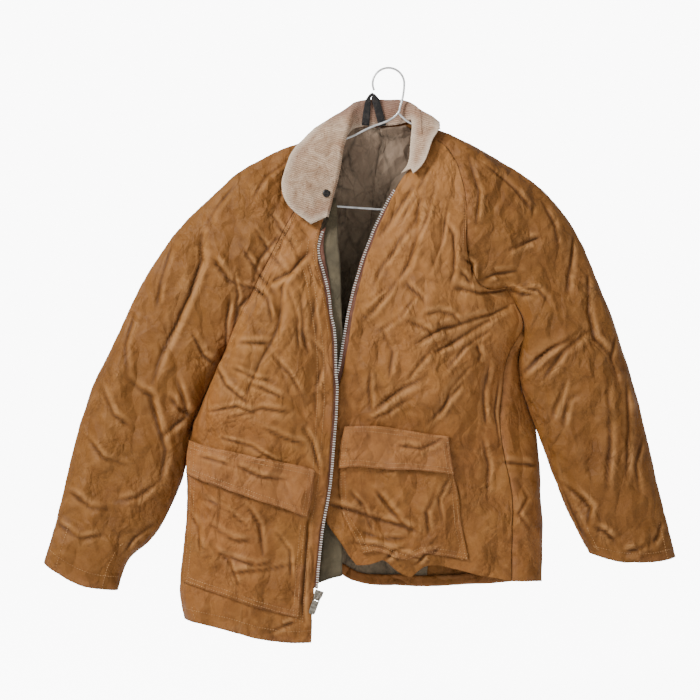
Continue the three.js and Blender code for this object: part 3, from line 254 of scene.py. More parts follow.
FRONT_CREASES = [
    # the wearer's right front
    (5.0, 7, -120, -279, -135, -295, -148, -312, -178, -327),
    (3.5, 8, -162, -361, -165, -390, -177, -418, -195, -448, -215, -500),
    (2.5, 6, -132, -345, -130, -400, -122, -430), (2.5, 6, -205, -478, -180, -490, -155, -500),
    (2.5, 6, -225, -417, -180, -418), (3.0, 7, -200, -335, -225, -362, -236, -400),
    (3.0, 6, -240, -348, -245, -385, -248, -430), (2.2, 5, -200, -335, -182, -352, -176, -385),
    (2.0, 5, -200, -335, -222, -330, -240, -322), (2.2, 6, -185, -545, -150, -562, -125, -570),
    (4.0, 5, -128, -545, -115, -565, -104, -606), (2.6, 6, -212, -662, -195, -690, -190, -735),
    (2.2, 6, -260, -733, -200, -750, -170, -745), (2.0, 6, -240, -762, -190, -757, -140, -748),
    (2.4, 6, -300, -675, -288, -695, -285, -730), (2.2, 5, -175, -850, -158, -842, -140, -835),
    (2.4, 5, -122, -684, -125, -740, -130, -800, -128, -835), (2.0, 6, -140, -232, -160, -262, -172, -300),
    (2.2, 6, -165, -255, -195, -290, -205, -325), (2.0, 6, -100, -450, -112, -490, -110, -530),
    (2.0, 6, -150, -520, -190, -515, -240, -530), (2.6, 6, -255, -455, -245, -480, -215, -505),
    (1.8, 5, -270, -520, -230, -512, -200, -522), (1.8, 5, -148, -312, -160, -335, -162, -361),
    (1.8, 5, -105, -330, -112, -370, -108, -410), (2.0, 6, -230, -600, -190, -618, -150, -622),
    (1.8, 6, -280, -588, -240, -600), (2.0, 6, -270, -690, -235, -712, -205, -715),
    (-2.5, 13, -136, -330, -148, -400, -152, -470), (-2.5, 14, -200, -540, -170, -530, -130, -522),
    (1.7, 4, -185, -215, -150, -262, -128, -300), (1.7, 4, -205, -240, -178, -282, -150, -318),
    (1.6, 4, -222, -270, -196, -312, -170, -345), (1.7, 4, -120, -300, -112, -345, -118, -392),
    (1.6, 4, -150, -340, -138, -380, -136, -430), (1.6, 4, -236, -300, -228, -345, -232, -380),
    (1.6, 4, -180, -430, -150, -462, -128, -500), (1.5, 4, -232, -455, -200, -470, -170, -474),
    (1.6, 4, -120, -410, -100, -432, -92, -470), (1.5, 4, -250, -560, -205, -572, -165, -596),
    (1.5, 4, -280, -650, -240, -668, -214, -690), (1.5, 4, -170, -700, -150, -728, -148, -772),
    (1.5, 4, -265, -722, -240, -745, -225, -785),
    # the wearer's right sleeve
    (4.5, 8, -265, -290, -252, -308, -240, -325),
    (5.5, 8, -283, -255, -283, -290, -300, -340, -325, -392, -345, -435, -357, -475),
    (4.5, 8, -360, -495, -352, -530, -338, -578, -345, -625), (3.0, 7, -330, -500, -317, -515, -305, -525),
    (3.0, 7, -345, -560, -325, -540, -305, -525), (3.0, 7, -322, -470, -312, -500, -305, -525),
    (2.6, 7, -300, -400, -280, -435, -262, -450), (2.2, 7, -235, -180, -262, -215, -275, -240),
    (2.2, 7, -330, -270, -345, -320, -352, -360), (2.4, 7, -385, -365, -400, -420, -395, -470),
    (2.2, 7, -395, -470, -370, -490, -352, -500), (2.4, 7, -435, -480, -415, -525, -385, -545),
    (2.2, 6, -455, -560, -430, -590, -395, -600), (2.6, 7, -345, -625, -380, -650, -410, -655),
    (2.4, 7, -485, -640, -450, -665, -420, -668), (2.2, 6, -500, -690, -465, -712, -430, -705),
    (2.0, 6, -355, -690, -385, -712, -400, -735), (2.0, 6, -150, -140, -185, -165, -205, -200),
    (1.8, 6, -120, -125, -150, -165, -170, -215), (-3.0, 16, -400, -430, -415, -520, -430, -600),
    (-2.5, 14, -300, -300, -320, -350, -340, -400),
    # the wearer's left front
    (3.5, 6, 38, -180, 20, -205, 0, -235, -15, -255), (3.0, 6, 48, -200, 40, -235, 15, -262, 0, -290),
    (3.2, 7, 45, -215, 38, -270, 28, -300, 10, -325), (3.0, 6, 10, -325, -25, -370, -45, -385),
    (3.0, 6, 85, -235, 97, -255, 97, -310, 90, -335), (3.0, 5, 25, -327, 50, -350, 53, -360),
    (2.8, 5, 55, -375, 75, -370, 95, -374, 108, -388), (4.2, 7, 175, -362, 150, -375, 80, -395, 40, -418),
    (3.2, 7, 165, -375, 120, -400, 70, -430), (4.2, 7, 50, -470, 20, -485, -20, -515),
    (2.6, 6, -27, -455, -30, -490, -27, -520), (2.8, 6, 130, -420, 136, -434, 133, -445),
    (2.8, 7, -20, -640, 5, -672, 30, -700), (4.0, 7, -90, -660, -30, -678, 40, -700),
    (4.2, 7, 100, -335, 135, -342, 178, -336), (3.6, 5, 112, -290, 125, -300, 124, -330),
    (3.0, 5, 105, -310, 115, -318, 122, -330), (2.4, 6, 110, -475, 85, -505, 60, -535),
    (2.2, 6, 60, -430, 40, -455, 30, -470), (2.2, 6, 150, -450, 142, -490, 145, -540),
    (2.0, 6, 80, -560, 50, -575, 15, -570), (2.4, 6, 70, -640, 55, -672, 60, -705),
    (2.0, 6, 140, -560, 150, -600, 148, -650), (2.2, 6, -60, -716, -20, -722, 50, -742),
    (2.6, 5, -5, -743, 10, -728, 30, -722), (2.4, 5, 42, -748, 55, -735, 75, -728),
    (2.6, 7, 175, -597, 200, -601, 230, -603), (2.0, 6, 195, -625, 210, -650, 195, -675, 220, -710),
    (2.0, 6, -10, -400, 5, -430, 0, -470), (1.8, 6, 20, -380, 60, -400, 75, -430),
    (-3.0, 14, 70, -190, 55, -245, 40, -300), (-2.5, 14, 120, -430, 80, -470, 40, -520),
    (-3.5, 9, -52, -716, 0, -724, 50, -742), (1.7, 4, 60, -150, 40, -196, 14, -238),
    (1.7, 4, 70, -176, 58, -226, 34, -276), (1.6, 4, 90, -200, 80, -260, 62, -312),
    (1.6, 4, 20, -262, -10, -300, -30, -342), (1.6, 4, 0, -330, -28, -352, -48, -352),
    (1.7, 4, 40, -345, 18, -376, -18, -404), (1.6, 4, 150, -398, 112, -424, 84, -458),
    (1.6, 4, 120, -452, 92, -486, 76, -524), (1.6, 4, 28, -500, 2, -520, -34, -534),
    (1.5, 4, 165, -470, 160, -520, 166, -570), (1.5, 4, -60, -640, -38, -664, -26, -700),
    (1.5, 4, 92, -620, 74, -650, 80, -690), (1.6, 5, -40, -700, -10, -712, 24, -710),
    # the wearer's left sleeve
    (3.0, 6, 180, -276, 215, -262, 228, -257), (3.2, 6, 140, -322, 160, -312, 195, -308),
    (2.8, 6, 180, -333, 200, -343, 220, -345), (2.8, 6, 205, -335, 225, -338, 240, -355),
    (3.6, 7, 280, -255, 275, -300, 268, -340), (4.0, 7, 303, -315, 300, -370, 310, -410, 340, -440),
    (3.4, 7, 300, -400, 262, -430, 235, -470), (3.0, 6, 275, -410, 240, -428, 215, -455),
    (3.0, 6, 255, -420, 225, -440, 205, -465), (2.6, 6, 245, -530, 258, -500, 265, -470),
    (2.6, 6, 262, -540, 270, -500, 285, -493), (3.4, 7, 360, -480, 362, -550, 356, -620),
    (3.0, 7, 328, -470, 333, -550, 328, -640), (4.0, 7, 265, -630, 290, -650, 303, -665, 300, -690),
    (3.0, 6, 310, -695, 325, -702, 340, -715), (2.6, 6, 355, -733, 375, -728, 390, -722),
    (2.6, 6, 400, -720, 408, -708, 412, -690), (2.6, 7, 240, -590, 268, -650, 295, -710),
    (2.4, 6, 150, -150, 190, -185, 215, -215), (2.4, 6, 120, -135, 135, -190, 130, -240),
    (2.2, 6, 230, -200, 250, -240, 255, -275), (2.2, 6, 345, -400, 335, -440, 345, -480),
    (2.0, 6, 385, -560, 372, -600, 378, -650), (-3.0, 13, 285, -555, 292, -600, 308, -665),
    (-3.0, 12, 350, -460, 364, -495, 372, -525),
]

BACK_CREASES = [
    (4.0, 8, -60, -200, -95, -255, -130, -320), (3.5, 8, 40, -190, 62, -250, 90, -310),
    (4.5, 8, -215, -370, -170, -395, -120, -430), (4.2, 8, 160, -350, 110, -390, 60, -440),
    (3.0, 7, -150, -500, -162, -590, -170, -680), (3.0, 7, 60, -500, 66, -600, 80, -700),
    (2.6, 6, -100, -450, -60, -480, -20, -476), (2.6, 6, 20, -430, -10, -470, -20, -520),
    (2.6, 6, -230, -540, -200, -570, -190, -620), (2.6, 6, 120, -520, 140, -570, 135, -630),
    (2.4, 6, -90, -640, -100, -700, -92, -750), (2.2, 6, -30, -640, 0, -690, 5, -740),
    (2.4, 6, -40, -300, 0, -330, 50, -330), (2.2, 6, -170, -300, -130, -340, -110, -390),
    (5.0, 8, -300, -300, -312, -365, -330, -430), (4.0, 8, -400, -440, -410, -520, -430, -600),
    (3.5, 7, -350, -560, -395, -590, -440, -620), (3.0, 7, -350, -470, -385, -480, -420, -470),
    (2.6, 7, -460, -660, -430, -700, -400, -705), (2.4, 6, -200, -170, -245, -215, -262, -260),
    (5.0, 8, 250, -300, 262, -360, 280, -420), (4.0, 8, 330, -430, 338, -520, 350, -600),
    (3.4, 7, 270, -590, 310, -620, 350, -640), (3.0, 7, 300, -420, 265, -445, 235, -450),
    (2.6, 6, 340, -660, 365, -690, 395, -695), (2.4, 6, 150, -160, 190, -215, 200, -260),
    (-3.0, 16, -235, -540, -240, -640, -245, -720), (-3.0, 16, 150, -520, 156, -610, 160, -700),
    (2.2, 5, -95, -255, -72, -290, -66, -340, -80, -380), (2.0, 5, -130, -320, -160, -338, -190, -334),
    (2.2, 5, 62, -250, 92, -262, 128, -300), (2.0, 5, 90, -310, 96, -350, 84, -384),
    (2.4, 6, -170, -395, -176, -430, -205, -462), (2.0, 5, -120, -430, -92, -424, -60, -400),
    (2.4, 6, 110, -390, 132, -432, 128, -476), (2.0, 5, 60, -440, 30, -452, 2, -440),
    (1.8, 5, -162, -590, -130, -612, -96, -606), (1.8, 5, 66, -600, 96, -622, 104, -668),
    (1.8, 5, -60, -560, -40, -600, -52, -650), (2.0, 5, 20, -560, 32, -600, 14, -650),
    (1.8, 5, -200, -700, -160, -722, -110, -716), (1.8, 5, 30, -690, 70, -716, 120, -708),
    (2.2, 6, -312, -365, -290, -392, -282, -440), (2.2, 6, -410, -520, -440, -540, -462, -590),
    (2.0, 5, -395, -590, -372, -622, -366, -668), (2.2, 6, 262, -360, 292, -372, 312, -400),
    (2.2, 6, 338, -520, 312, -542, 300, -580), (2.0, 5, 350, -600, 372, -622, 380, -664),
]


def rising(values, low, high):
    """0 below low, 1 above high, and a smooth rise between."""
    share = np.clip((values - low) / (high - low), 0, 1)
    return share * share * (3 - 2 * share)


# Facets between the placed creases: depth and size in millimetres, turn, and stretch.
FACETS = ((3.4, 58, 0.0, 1.7), (1.7, 27, -0.9, 1.5), (0.6, 12, 0.7, 1.4))


def crumpled(x, z, seed, lean):
    """The unplaced part of the folds: large and small facets, more worked in some places."""
    worked = 0.75 + 0.35 * noise2(x, z, 110, seed)
    total = sum(
        depth * facets(x, z, size, seed + 10 * (number + 1), lean + turn, stretch)
        for number, (depth, size, turn, stretch) in enumerate(FACETS)
    )
    return worked * total + 0.7 * noise2(x, z, 48, seed + 40)


FRONT_DEPTH, BACK_DEPTH = 1.25, 0.95  # how deep each layer's creases go, of their tables


def folds(points):
    """(how far each point moves back, how far it sinks into the cloth). The front and back
    layers of the jacket each have their own folds, which fade out where the two meet, so
    pieces sewn or laid together move as one."""
    x, y, z = points.T
    front = rising(-y, 3, 17)
    back = rising(y, 5, 19)
    ahead = front * (FRONT_DEPTH * crease_lines(x, z, FRONT_CREASES) + crumpled(x, z, 31, 0.45))
    behind = back * (BACK_DEPTH * crease_lines(x, z, BACK_CREASES) + crumpled(x, z, 71, -0.5))
    return ahead - behind, ahead + behind


def bending(obj, sunk):
    """How sharply the folds bend at each point: 1 along a valley, -1 along a ridge."""
    mesh = obj.data
    ends = np.empty(len(mesh.edges) * 2, np.int32)
    mesh.edges.foreach_get("vertices", ends)
    a, b = ends.reshape(-1, 2).T
    points = points_of(obj)
    run = np.maximum(np.linalg.norm(points[a] - points[b], axis=1), 0.3)
    rise = (sunk[a] - sunk[b]) / run
    count = len(points)
    total = np.bincount(a, rise, count) + np.bincount(b, -rise, count)
    span = np.bincount(a, run, count) + np.bincount(b, run, count)
    bent = np.clip(16.0 * total / span, -1.5, 1.5)
    around = np.bincount(a, bent[b], count) + np.bincount(b, bent[a], count)
    ways = np.bincount(a, None, count) + np.bincount(b, None, count)
    return 0.4 * bent + 0.6 * around / np.maximum(ways, 1)


def ripple(points):
    """The small unevenness that every outline of worn cloth has, in x and z."""
    x, y, z = points.T
    dx = 1.0 * noise2(z + 0.5 * x, y * 0.5 + x * 0.3, 34, 41) + 0.5 * noise2(z, x, 15, 42)
    dz = 1.0 * noise2(x - 0.4 * z, y * 0.5 + z * 0.3, 36, 43) + 0.5 * noise2(x, z, 16, 44)
    return dx, dz


def keep(obj, name, values):
    """Stores one number a point on the mesh, for its material to read."""
    layer = obj.data.attributes.new(name, "FLOAT", "POINT")
    layer.data.foreach_set("value", np.asarray(values, np.float32))


def kd_tree(places):
    tree = KDTree(len(places))
    for number, place in enumerate(places):
        tree.insert(place, number)
    tree.balance()
    return tree


def found_in(tree, points):
    """The nearest (place, number, distance) in a tree to each point."""
    return [tree.find(point) for point in points.tolist()]


def near_rim(points, line, reach):
    """(1 at a rim falling to 0 at `reach` millimetres from it, the nearest place on it)."""
    dense = []
    loop = line + [line[0]]
    for a, b in zip(loop[:-1], loop[1:]):
        count = max(1, int((b - a).length / (3 * MM)))
        dense += [a.lerp(b, k / count) for k in range(count)]
    hits = found_in(kd_tree([p / MM for p in dense]), points)
    far = np.array([hit[2] for hit in hits])
    return np.clip(1 - far / reach, 0, 1), np.array([tuple(hit[0]) for hit in hits])


SEAM_REACH = 0.3  # millimetres from the solid's rim to the seam line and a little past it
AT_RIM = 0.955  # the edge value of the outermost row of points
DIRECT_LIMIT = 4e6  # pairs of points; past this a search tree saves memory


def sewn(points, line, nearest, edge):
    """The cloth's last row of points moved out to the seam line that the solid stops short
    of, so that sewn edges meet."""
    middle = points.mean(axis=0)
    samples = np.array([tuple(p / MM) for p in line])
    ahead = np.roll(samples, -1, axis=0) - np.roll(samples, 1, axis=0)
    if len(points) * len(samples) < DIRECT_LIMIT:
        near = np.argmin(((nearest[:, None, :] - samples[None, :, :]) ** 2).sum(2), axis=1)
    else:
        near = np.array([hit[1] for hit in found_in(kd_tree(samples), nearest)])
    tangent = ahead[near]
    outward = np.stack([-tangent[:, 2], np.zeros(len(near)), tangent[:, 0]], axis=1)
    outward /= np.maximum(np.linalg.norm(outward, axis=1, keepdims=True), 1e-6)
    facing = np.sign(((nearest - middle) * outward).sum(1, keepdims=True))
    return points + outward * facing * SEAM_REACH * (edge > AT_RIM)[:, None]


# Under each arm the sleeve lies pressed against the body. Height, the line between the two,
# and how far the body and the sleeve each swell towards it, in millimetres.
PRESSED = {
    -1: [
        (-442, -250, 0, 0), (-456, -260, 2.2, 2.0), (-477, -267, 2.6, 2.4), (-514, -286, 2.6, 2.4),
        (-550, -300.5, 2.6, 2.4), (-590, -305.5, 2.6, 2.4), (-622, -309.5, 2.2, 2.0), (-655, -318, 0, 0),
    ],
    1: [
        (-328, 178, 0, 0), (-345, 189, 5, 3), (-366, 201, 9, 4), (-392, 207, 12.5, 5), (-412, 203.5, 8, 5),
        (-435, 199, 6, 5), (-470, 201.5, 5, 4.6), (-505, 209.5, 4, 4), (-535, 220, 3, 2.6),
        (-560, 228.5, 1.8, 1.6), (-590, 241, 0, 0),
    ],
}


def pressed(points, sleeve):
    """How far points move in x where a sleeve and the body lie against each other."""
    x, z = points[:, 0], points[:, 2]
    total = np.zeros(len(points))
    for side, rows in PRESSED.items():
        heights, line, body, arm = np.array(rows[::-1], float).T
        between = np.interp(z, heights, line)
        reach = np.interp(z, heights, arm if sleeve else body)
        fall = np.exp(-np.abs(x - between) / 20.0)
        total += (-side if sleeve else side) * reach * fall * (np.sign(x) == side)
    return total


EDGE_BAND = 26  # millimetres from a seam that pucker and wear with it
rims = {}


def cloth(node, name, levels, towards, folded=1.0, pucker=0.5, tone=0.0, dip=0.0):
    """A shell of cloth on a CAD node's form, with the jacket's folds pressed into it. tone
    is 1 on cloth that has kept its wax, -1 where it has worn pale and pink; dip is how far
    its seams sink."""
    obj = refined(node, name, levels)
    form = merged(node)
    line = rim_of(form, towards)
    form.free()
    points = points_of(obj)
    moved, sunk = folds(points)
    bent = bending(obj, sunk)
    edge, nearest = near_rim(points, line, EDGE_BAND)
    points = sewn(points, line, nearest, edge)
    x, y, z = points.T
    gather = noise2(x, z, 7.5, 51) * edge ** 1.5 * pucker
    side = np.sign(y) * (np.abs(y) > 4)
    dx, dz = ripple(points)
    points[:, 1] += folded * moved - side * (gather + dip * rising(edge, 0.7, 1.0))
    points[:, 0] += dx + pressed(points, "sleeve" in node)
    points[:, 2] += dz
    set_points(obj, points)
    # deep marks the fold valleys, which the materials darken as painted shade.
    keep(obj, "deep", np.clip(np.clip(bent, 0, 1) + 0.08 * np.clip(sunk, 0, 4), 0, 1))
    keep(obj, "proud", np.clip(-1.3 * bent, 0, 1))
    keep(obj, "edge", edge)
    keep(obj, "tone", np.full(len(points), tone))
    rims[name] = line
    return obj


def dressed(obj, node, finish, body="jacket"):
    """Gives a finished piece its material and body, and hides its CAD node."""
    obj.data.materials.append(finish)
    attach(obj, body)
    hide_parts(node)


def moved_by(obj, axis, shift):
    """Moves each point along one axis by shift(x, y, z), in millimetres."""
    points = points_of(obj)
    points[:, axis] += shift(*points.T)
    set_points(obj, points)


class Wires:
    """Short names for adding and joining the nodes of one tree."""

    def __init__(self, tree):
        self.tree = tree

    def node(self, kind, inputs=(), **settings):
        made = self.tree.nodes.new(kind)
        for key, value in settings.items():
            setattr(made, key, value)
        for socket, value in dict(inputs).items():
            target = made.inputs[socket]
            if isinstance(value, bpy.types.NodeSocket):
                self.link(value, target)
            else:
                target.default_value = value
        return made

    def link(self, source, target):
        self.tree.links.new(source, target)

    def times(self, a, b):
        return self.math("MULTIPLY", a, b)

    def math(self, operation, a, b=0.5, c=0.5):
        return self.node("ShaderNodeMath", {0: a, 1: b, 2: c}, operation=operation).outputs[0]

    def mix(self, share, a, b, blend="MIX"):
        made = self.node("ShaderNodeMix", data_type="RGBA", blend_type=blend)
        for socket, value in ((0, share), (6, a), (7, b)):
            if isinstance(value, bpy.types.NodeSocket):
                self.link(value, made.inputs[socket])
            else:
                made.inputs[socket].default_value = value
        return made.outputs[2]

    def range(self, value, low, high, to_low=0.0, to_high=1.0):
        return self.node(
            "ShaderNodeMapRange", {0: value, 1: low, 2: high, 3: to_low, 4: to_high}
        ).outputs[0]

    def noise(self, place, scale, detail=3.0, rough=0.55, distort=0.0):
        return self.node("ShaderNodeTexNoise", {
            "Vector": place, "Scale": scale, "Detail": detail, "Roughness": rough,
            "Distortion": distort,
        }).outputs[0]

    def bump(self, height, distance, strength=1.0, normal=None):
        inputs = {"Height": height, "Distance": distance, "Strength": strength}
        if normal is not None:
            inputs["Normal"] = normal
        return self.node("ShaderNodeBump", inputs).outputs[0]


def shared(name, inputs, outputs):
    """A new shader node group, its wires, and its input and output nodes."""
    tree = bpy.data.node_groups.new(name, "ShaderNodeTree")
    for label, kind, value in inputs:
        socket = tree.interface.new_socket(label, in_out="INPUT", socket_type=kind)
        if value is not None:
            socket.default_value = value
    for label, kind in outputs:
        tree.interface.new_socket(label, in_out="OUTPUT", socket_type=kind)
    wires = Wires(tree)
    return tree, wires, wires.node("NodeGroupInput"), wires.node("NodeGroupOutput")


def material(name, rough=0.6, metal=0.0, colour=(0.5, 0.5, 0.5, 1.0)):
    """A new material: (material, wires, its Principled BSDF, object coordinates)."""
    made = bpy.data.materials.new(name)
    made.use_nodes = True
    wires = Wires(made.node_tree)
    surface = made.node_tree.nodes["Principled BSDF"]
    surface.inputs["Base Color"].default_value = colour
    surface.inputs["Roughness"].default_value = rough
    surface.inputs["Metallic"].default_value = metal
    place = wires.node("ShaderNodeTexCoord").outputs["Object"]
    return made, wires, surface, place


# Creasing and weave, shared by every cloth: a height that varies with the small crinkles, a mask along their
# creases that the materials darken as painted shade, and a fine thread pattern.
crinkle_group, w, g_in, g_out = shared(
    "crinkle",
    [("Place", "NodeSocketVector", None), ("Size", "NodeSocketFloat", 60.0)],
    [("Height", "NodeSocketFloat"), ("Creases", "NodeSocketFloat")],
)
bent_place = w.node("ShaderNodeMix", data_type="VECTOR")
w.link(g_in.outputs["Place"], bent_place.inputs[4])
warp = w.node("ShaderNodeTexNoise", {"Vector": g_in.outputs["Place"], "Scale": 24.0, "Detail": 1.0})
w.link(warp.outputs["Color"], bent_place.inputs[5])
bent_place.inputs[0].default_value = 0.022


def pleats(wires, turn, squeeze, times):
    """Flat facets that meet in straight creases: (height, 1 along the creases)."""
    mapped = wires.node("ShaderNodeMapping", {"Vector": bent_place.outputs[1]})
    mapped.inputs["Rotation"].default_value = (0.3, turn, 0.2)
    mapped.inputs["Scale"].default_value = (1.0, 1.0, squeeze)
    size = wires.times(g_in.outputs["Size"], times)
    inputs = {"Vector": mapped.outputs[0], "Scale": size}
    flat = wires.node("ShaderNodeTexVoronoi", inputs, distance="MANHATTAN")
    rim = wires.node("ShaderNodeTexVoronoi", inputs, feature="DISTANCE_TO_EDGE")
    return flat.outputs["Distance"], wires.range(rim.outputs["Distance"], 0.0, 0.10, 1.0, 0.0)


broad, broad_line = pleats(w, 0.5, 0.5, 1.0)
mid, mid_line = pleats(w, -0.8, 0.6, 2.3)
tiny = pleats(w, 0.2, 0.8, 5.5)[0]
here = w.range(w.noise(g_in.outputs["Place"], 16.0, 2.0), 0.38, 0.62)
there = w.range(w.noise(g_in.outputs["Place"], 21.0, 2.0, 0.5, 0.4), 0.42, 0.62)
height = w.times(broad, -1.0)
height = w.math("ADD", height, w.times(w.times(mid, 0.46), here))
height = w.math("SUBTRACT", height, w.times(w.times(tiny, 0.16), there))
finer = w.times(w.times(mid_line, there), 0.6)
w.link(height, g_out.inputs[0])
w.link(w.math("ADD", w.times(broad_line, here), finer), g_out.inputs[1])

weave_group, w, g_in, g_out = shared(
    "weave",
    [("Place", "NodeSocketVector", None), ("Pitch", "NodeSocketFloat", 0.5)],
    [("Height", "NodeSocketFloat")],
)
split = w.node("ShaderNodeSeparateXYZ", {0: g_in.outputs["Place"]})
turns = w.math("DIVIDE", 6.2832 / MM, g_in.outputs["Pitch"])
ups = w.math("SINE", w.times(split.outputs[0], turns))
downs = w.math("SINE", w.times(split.outputs[2], turns))
w.link(w.times(ups, downs), g_out.inputs[0])


def crinkled(wires, place, size):
    """A material's use of the crinkles: (height, 1 along the creases)."""
    made = wires.node("ShaderNodeGroup", node_tree=crinkle_group)
    wires.link(place, made.inputs["Place"])
    made.inputs["Size"].default_value = size
    return made.outputs["Height"], made.outputs["Creases"]


def woven(wires, place, pitch):
    """A material's use of the weave, with its thread pitch in millimetres: a height."""
    made = wires.node("ShaderNodeGroup", node_tree=weave_group)
    wires.link(place, made.inputs["Place"])
    made.inputs["Pitch"].default_value = pitch
    return made.outputs[0]


def stored(wires, name):
    """One of the numbers that cloth() keeps at each point."""
    return wires.node("ShaderNodeAttribute", attribute_name=name).outputs["Fac"]


# Waxed cotton: tan, paler and pinker where the wax has worn off the ridges, with painted shade darkening the
# creases and fold valleys, and soft clouds of age.
tan, w, surface, place = material("waxed_cotton", rough=0.6)
deep, proud, edge, tone = (stored(w, name) for name in ("deep", "proud", "edge", "tone"))
crinkles, creases = crinkled(w, place, 26.0)
weave = woven(w, place, 1.1)
clouds = w.range(w.noise(place, 5.5, 5.0, 0.6, 0.6), 0.36, 0.66)
patches = w.range(w.noise(place, 17.0, 4.0, 0.62, 0.8), 0.40, 0.66)
grain = w.range(w.noise(place, 420.0, 3.0, 0.6), 0.3, 0.7)
hues = w.range(w.noise(place, 9.0, 4.0, 0.6, 0.4), 0.40, 0.62)
colour = w.mix(clouds, linear(126, 78, 30), linear(146, 92, 44))
colour = w.mix(w.times(hues, 0.5), colour, linear(136, 90, 34))
colour = w.mix(w.range(tone, 0.0, 1.0, 0.0, 0.8), colour, linear(112, 70, 22))
colour = w.mix(w.range(tone, 0.0, -1.0, 0.0, 0.7), colour, linear(154, 100, 54))
colour = w.mix(w.times(patches, 0.45), colour, linear(108, 62, 20))
# Paler towards the top, less on the sleeves: partly wear, partly a painted highlight on the chest and
# shoulders.
chest = w.range(w.node("ShaderNodeSeparateXYZ", {0: place}).outputs[2], -0.56, -0.24)
chest = w.times(chest, w.range(tone, 0.0, 1.0, 0.55, 0.12))
colour = w.mix(chest, colour, linear(170, 116, 64))
colour = w.mix(w.times(grain, 0.16), colour, linear(166, 116, 66))
colour = w.mix(w.times(proud, 0.6), colour, linear(184, 132, 80))
edge_wear = w.times(w.times(w.math("POWER", edge, 3.0), patches), 0.6)
colour = w.mix(edge_wear, colour, linear(166, 112, 74))
# Painted shade: darker along the crinkles' creases and in the fold valleys.
colour = w.mix(w.times(creases, 0.30), colour, linear(78, 44, 12))
colour = w.mix(w.times(deep, 0.72), colour, linear(66, 36, 10))
w.link(colour, surface.inputs["Base Color"])
rough = w.range(w.noise(place, 30.0, 3.0), 0.3, 0.7, 0.5, 0.68)
w.link(rough, surface.inputs["Roughness"])
threads = w.math("ADD", w.times(weave, 0.35), grain)
small = w.bump(crinkles, 0.011, 0.85)
w.link(w.bump(threads, 0.00022, 0.6, small), surface.inputs["Normal"])
surface.inputs["Specular IOR Level"].default_value = 0.2

FRONT, BACK = (0, -1, 0), (0, 1, 0)
main_cloth = {}
for node, towards, flat, area in (
    ("front_right", FRONT, (0.33, 0.77), 0.135),
    ("front_left", FRONT, (0.33, 0.71), 0.154),
    ("back_right", BACK, (0.34, 0.76), 0.146),
    ("back_left", BACK, (0.40, 0.72), 0.196),
    ("sleeve_right_front", FRONT, (0.26, 0.86), 0.135),
    ("sleeve_right_back", BACK, (0.25, 0.86), 0.128),
    ("sleeve_left_front", FRONT, (0.24, 0.84), 0.122),
    ("sleeve_left_back", BACK, (0.24, 0.84), 0.115),
):
    panel = cloth(node, node + "_cloth", 3, towards, tone=float("sleeve" in node), dip=0.9)
    dressed(panel, node, tan)
    main_cloth[node] = (panel, flat, area)


# ---------------------------------------------------------------------------
# Pockets and flaps: the same waxed cotton, laid on the fronts and stitched twice round.
# The flaps hang open over the pocket mouths and have puckered along their seams.
# ---------------------------------------------------------------------------

FLAP_LIFT = 3.2  # millimetres that a flap's lower edge stands off its pocket
# Each flap's top and lower edge, from the wearer's right to left: x, z, x, z.
FLAP_EDGES = {
    "flap_right": [(-298, -565, -101, -615), (-305, -611, -122, -684)],
    "flap_left": [(-75, -548, 118, -541), (-80, -610, 113, -605)],
}
for node, flat, area in (
    ("pocket_right", (0.21, 0.27), 0.0440),
    ("pocket_left", (0.20, 0.21), 0.0345),
    ("flap_right", (0.20, 0.12), 0.0132),
    ("flap_left", (0.18, 0.08), 0.0106),
):
    panel = cloth(node, node + "_cloth", 3, FRONT, pucker=0.45, tone=-float("flap" in node))
    if node in FLAP_EDGES:
        top, low = np.array(FLAP_EDGES[node], float)
        points = points_of(panel)
        x, y, z = points.T
        above, below = np.interp(x, top[::2], top[1::2]), np.interp(x, low[::2], low[1::2])
        share_down = (above - z) / (above - below)
        points[:, 1] -= FLAP_LIFT * rising(share_down, 0.3, 1.0) * (1 + 0.5 * noise2(x, z, 42, 81))
        set_points(panel, points)
    dressed(panel, node, tan)
    main_cloth[node] = (panel, flat, area)


# ---------------------------------------------------------------------------
# Inside of the back: a thin taupe lining in two halves, loose enough to pucker, and the
# brown strip turned up at the hem. Only this much of the inside shows.
# ---------------------------------------------------------------------------

lining, w, surface, place = material("lining", rough=0.8)
crinkles, creases = crinkled(w, place, 30.0)
clouds = w.range(w.noise(place, 14.0, 5.0, 0.65, 1.0), 0.35, 0.65)
height_z = w.node("ShaderNodeSeparateXYZ", {0: place}).outputs[2]
upper = w.range(height_z, -0.36, -0.12)
colour = w.mix(clouds, linear(104, 90, 68), linear(140, 122, 98))
colour = w.mix(w.times(upper, 0.45), colour, linear(150, 122, 104))
# Painted shade: darker along the crinkles' creases and in the fold valleys.
colour = w.mix(w.times(creases, 0.5), colour, linear(56, 48, 34))
colour = w.mix(w.times(stored(w, "deep"), 0.5), colour, linear(48, 40, 28))
w.link(colour, surface.inputs["Base Color"])
small = w.bump(crinkles, 0.0090, 0.9)
w.link(w.bump(woven(w, place, 0.8), 0.0002, 0.4, small), surface.inputs["Normal"])

for node, flat, area in (
    ("back_lining_right", (0.21, 0.76), 0.063),
    ("back_lining_left", (0.20, 0.73), 0.086),
):
    half = cloth(node, node + "_cloth", 3, FRONT, pucker=0.0)
    points = points_of(half)
    x, y, z = points.T
    sag = 1.4 * (facets(x, z, 40, 61, 0.3) + 1) + 1.0 * (noise2(x, z, 26, 62) + 1)
    sag *= rising(z, -768, -738)
    lap = 1.9 * (near_rim(points, rims[half.name], 3)[0] > 0.4) * (z < -92)
    lap += 3.0 * np.exp(-((x + 16) ** 2 + (z + 110) ** 2) / 50)
    points[:, 0] += lap if node.endswith("right") else -lap
    points[:, 1] -= sag
    points[:, 2] += 8 * np.exp(-((x + 57) ** 2 + (z + 108) ** 2) / 260)
    set_points(half, points)
    dressed(half, node, lining)

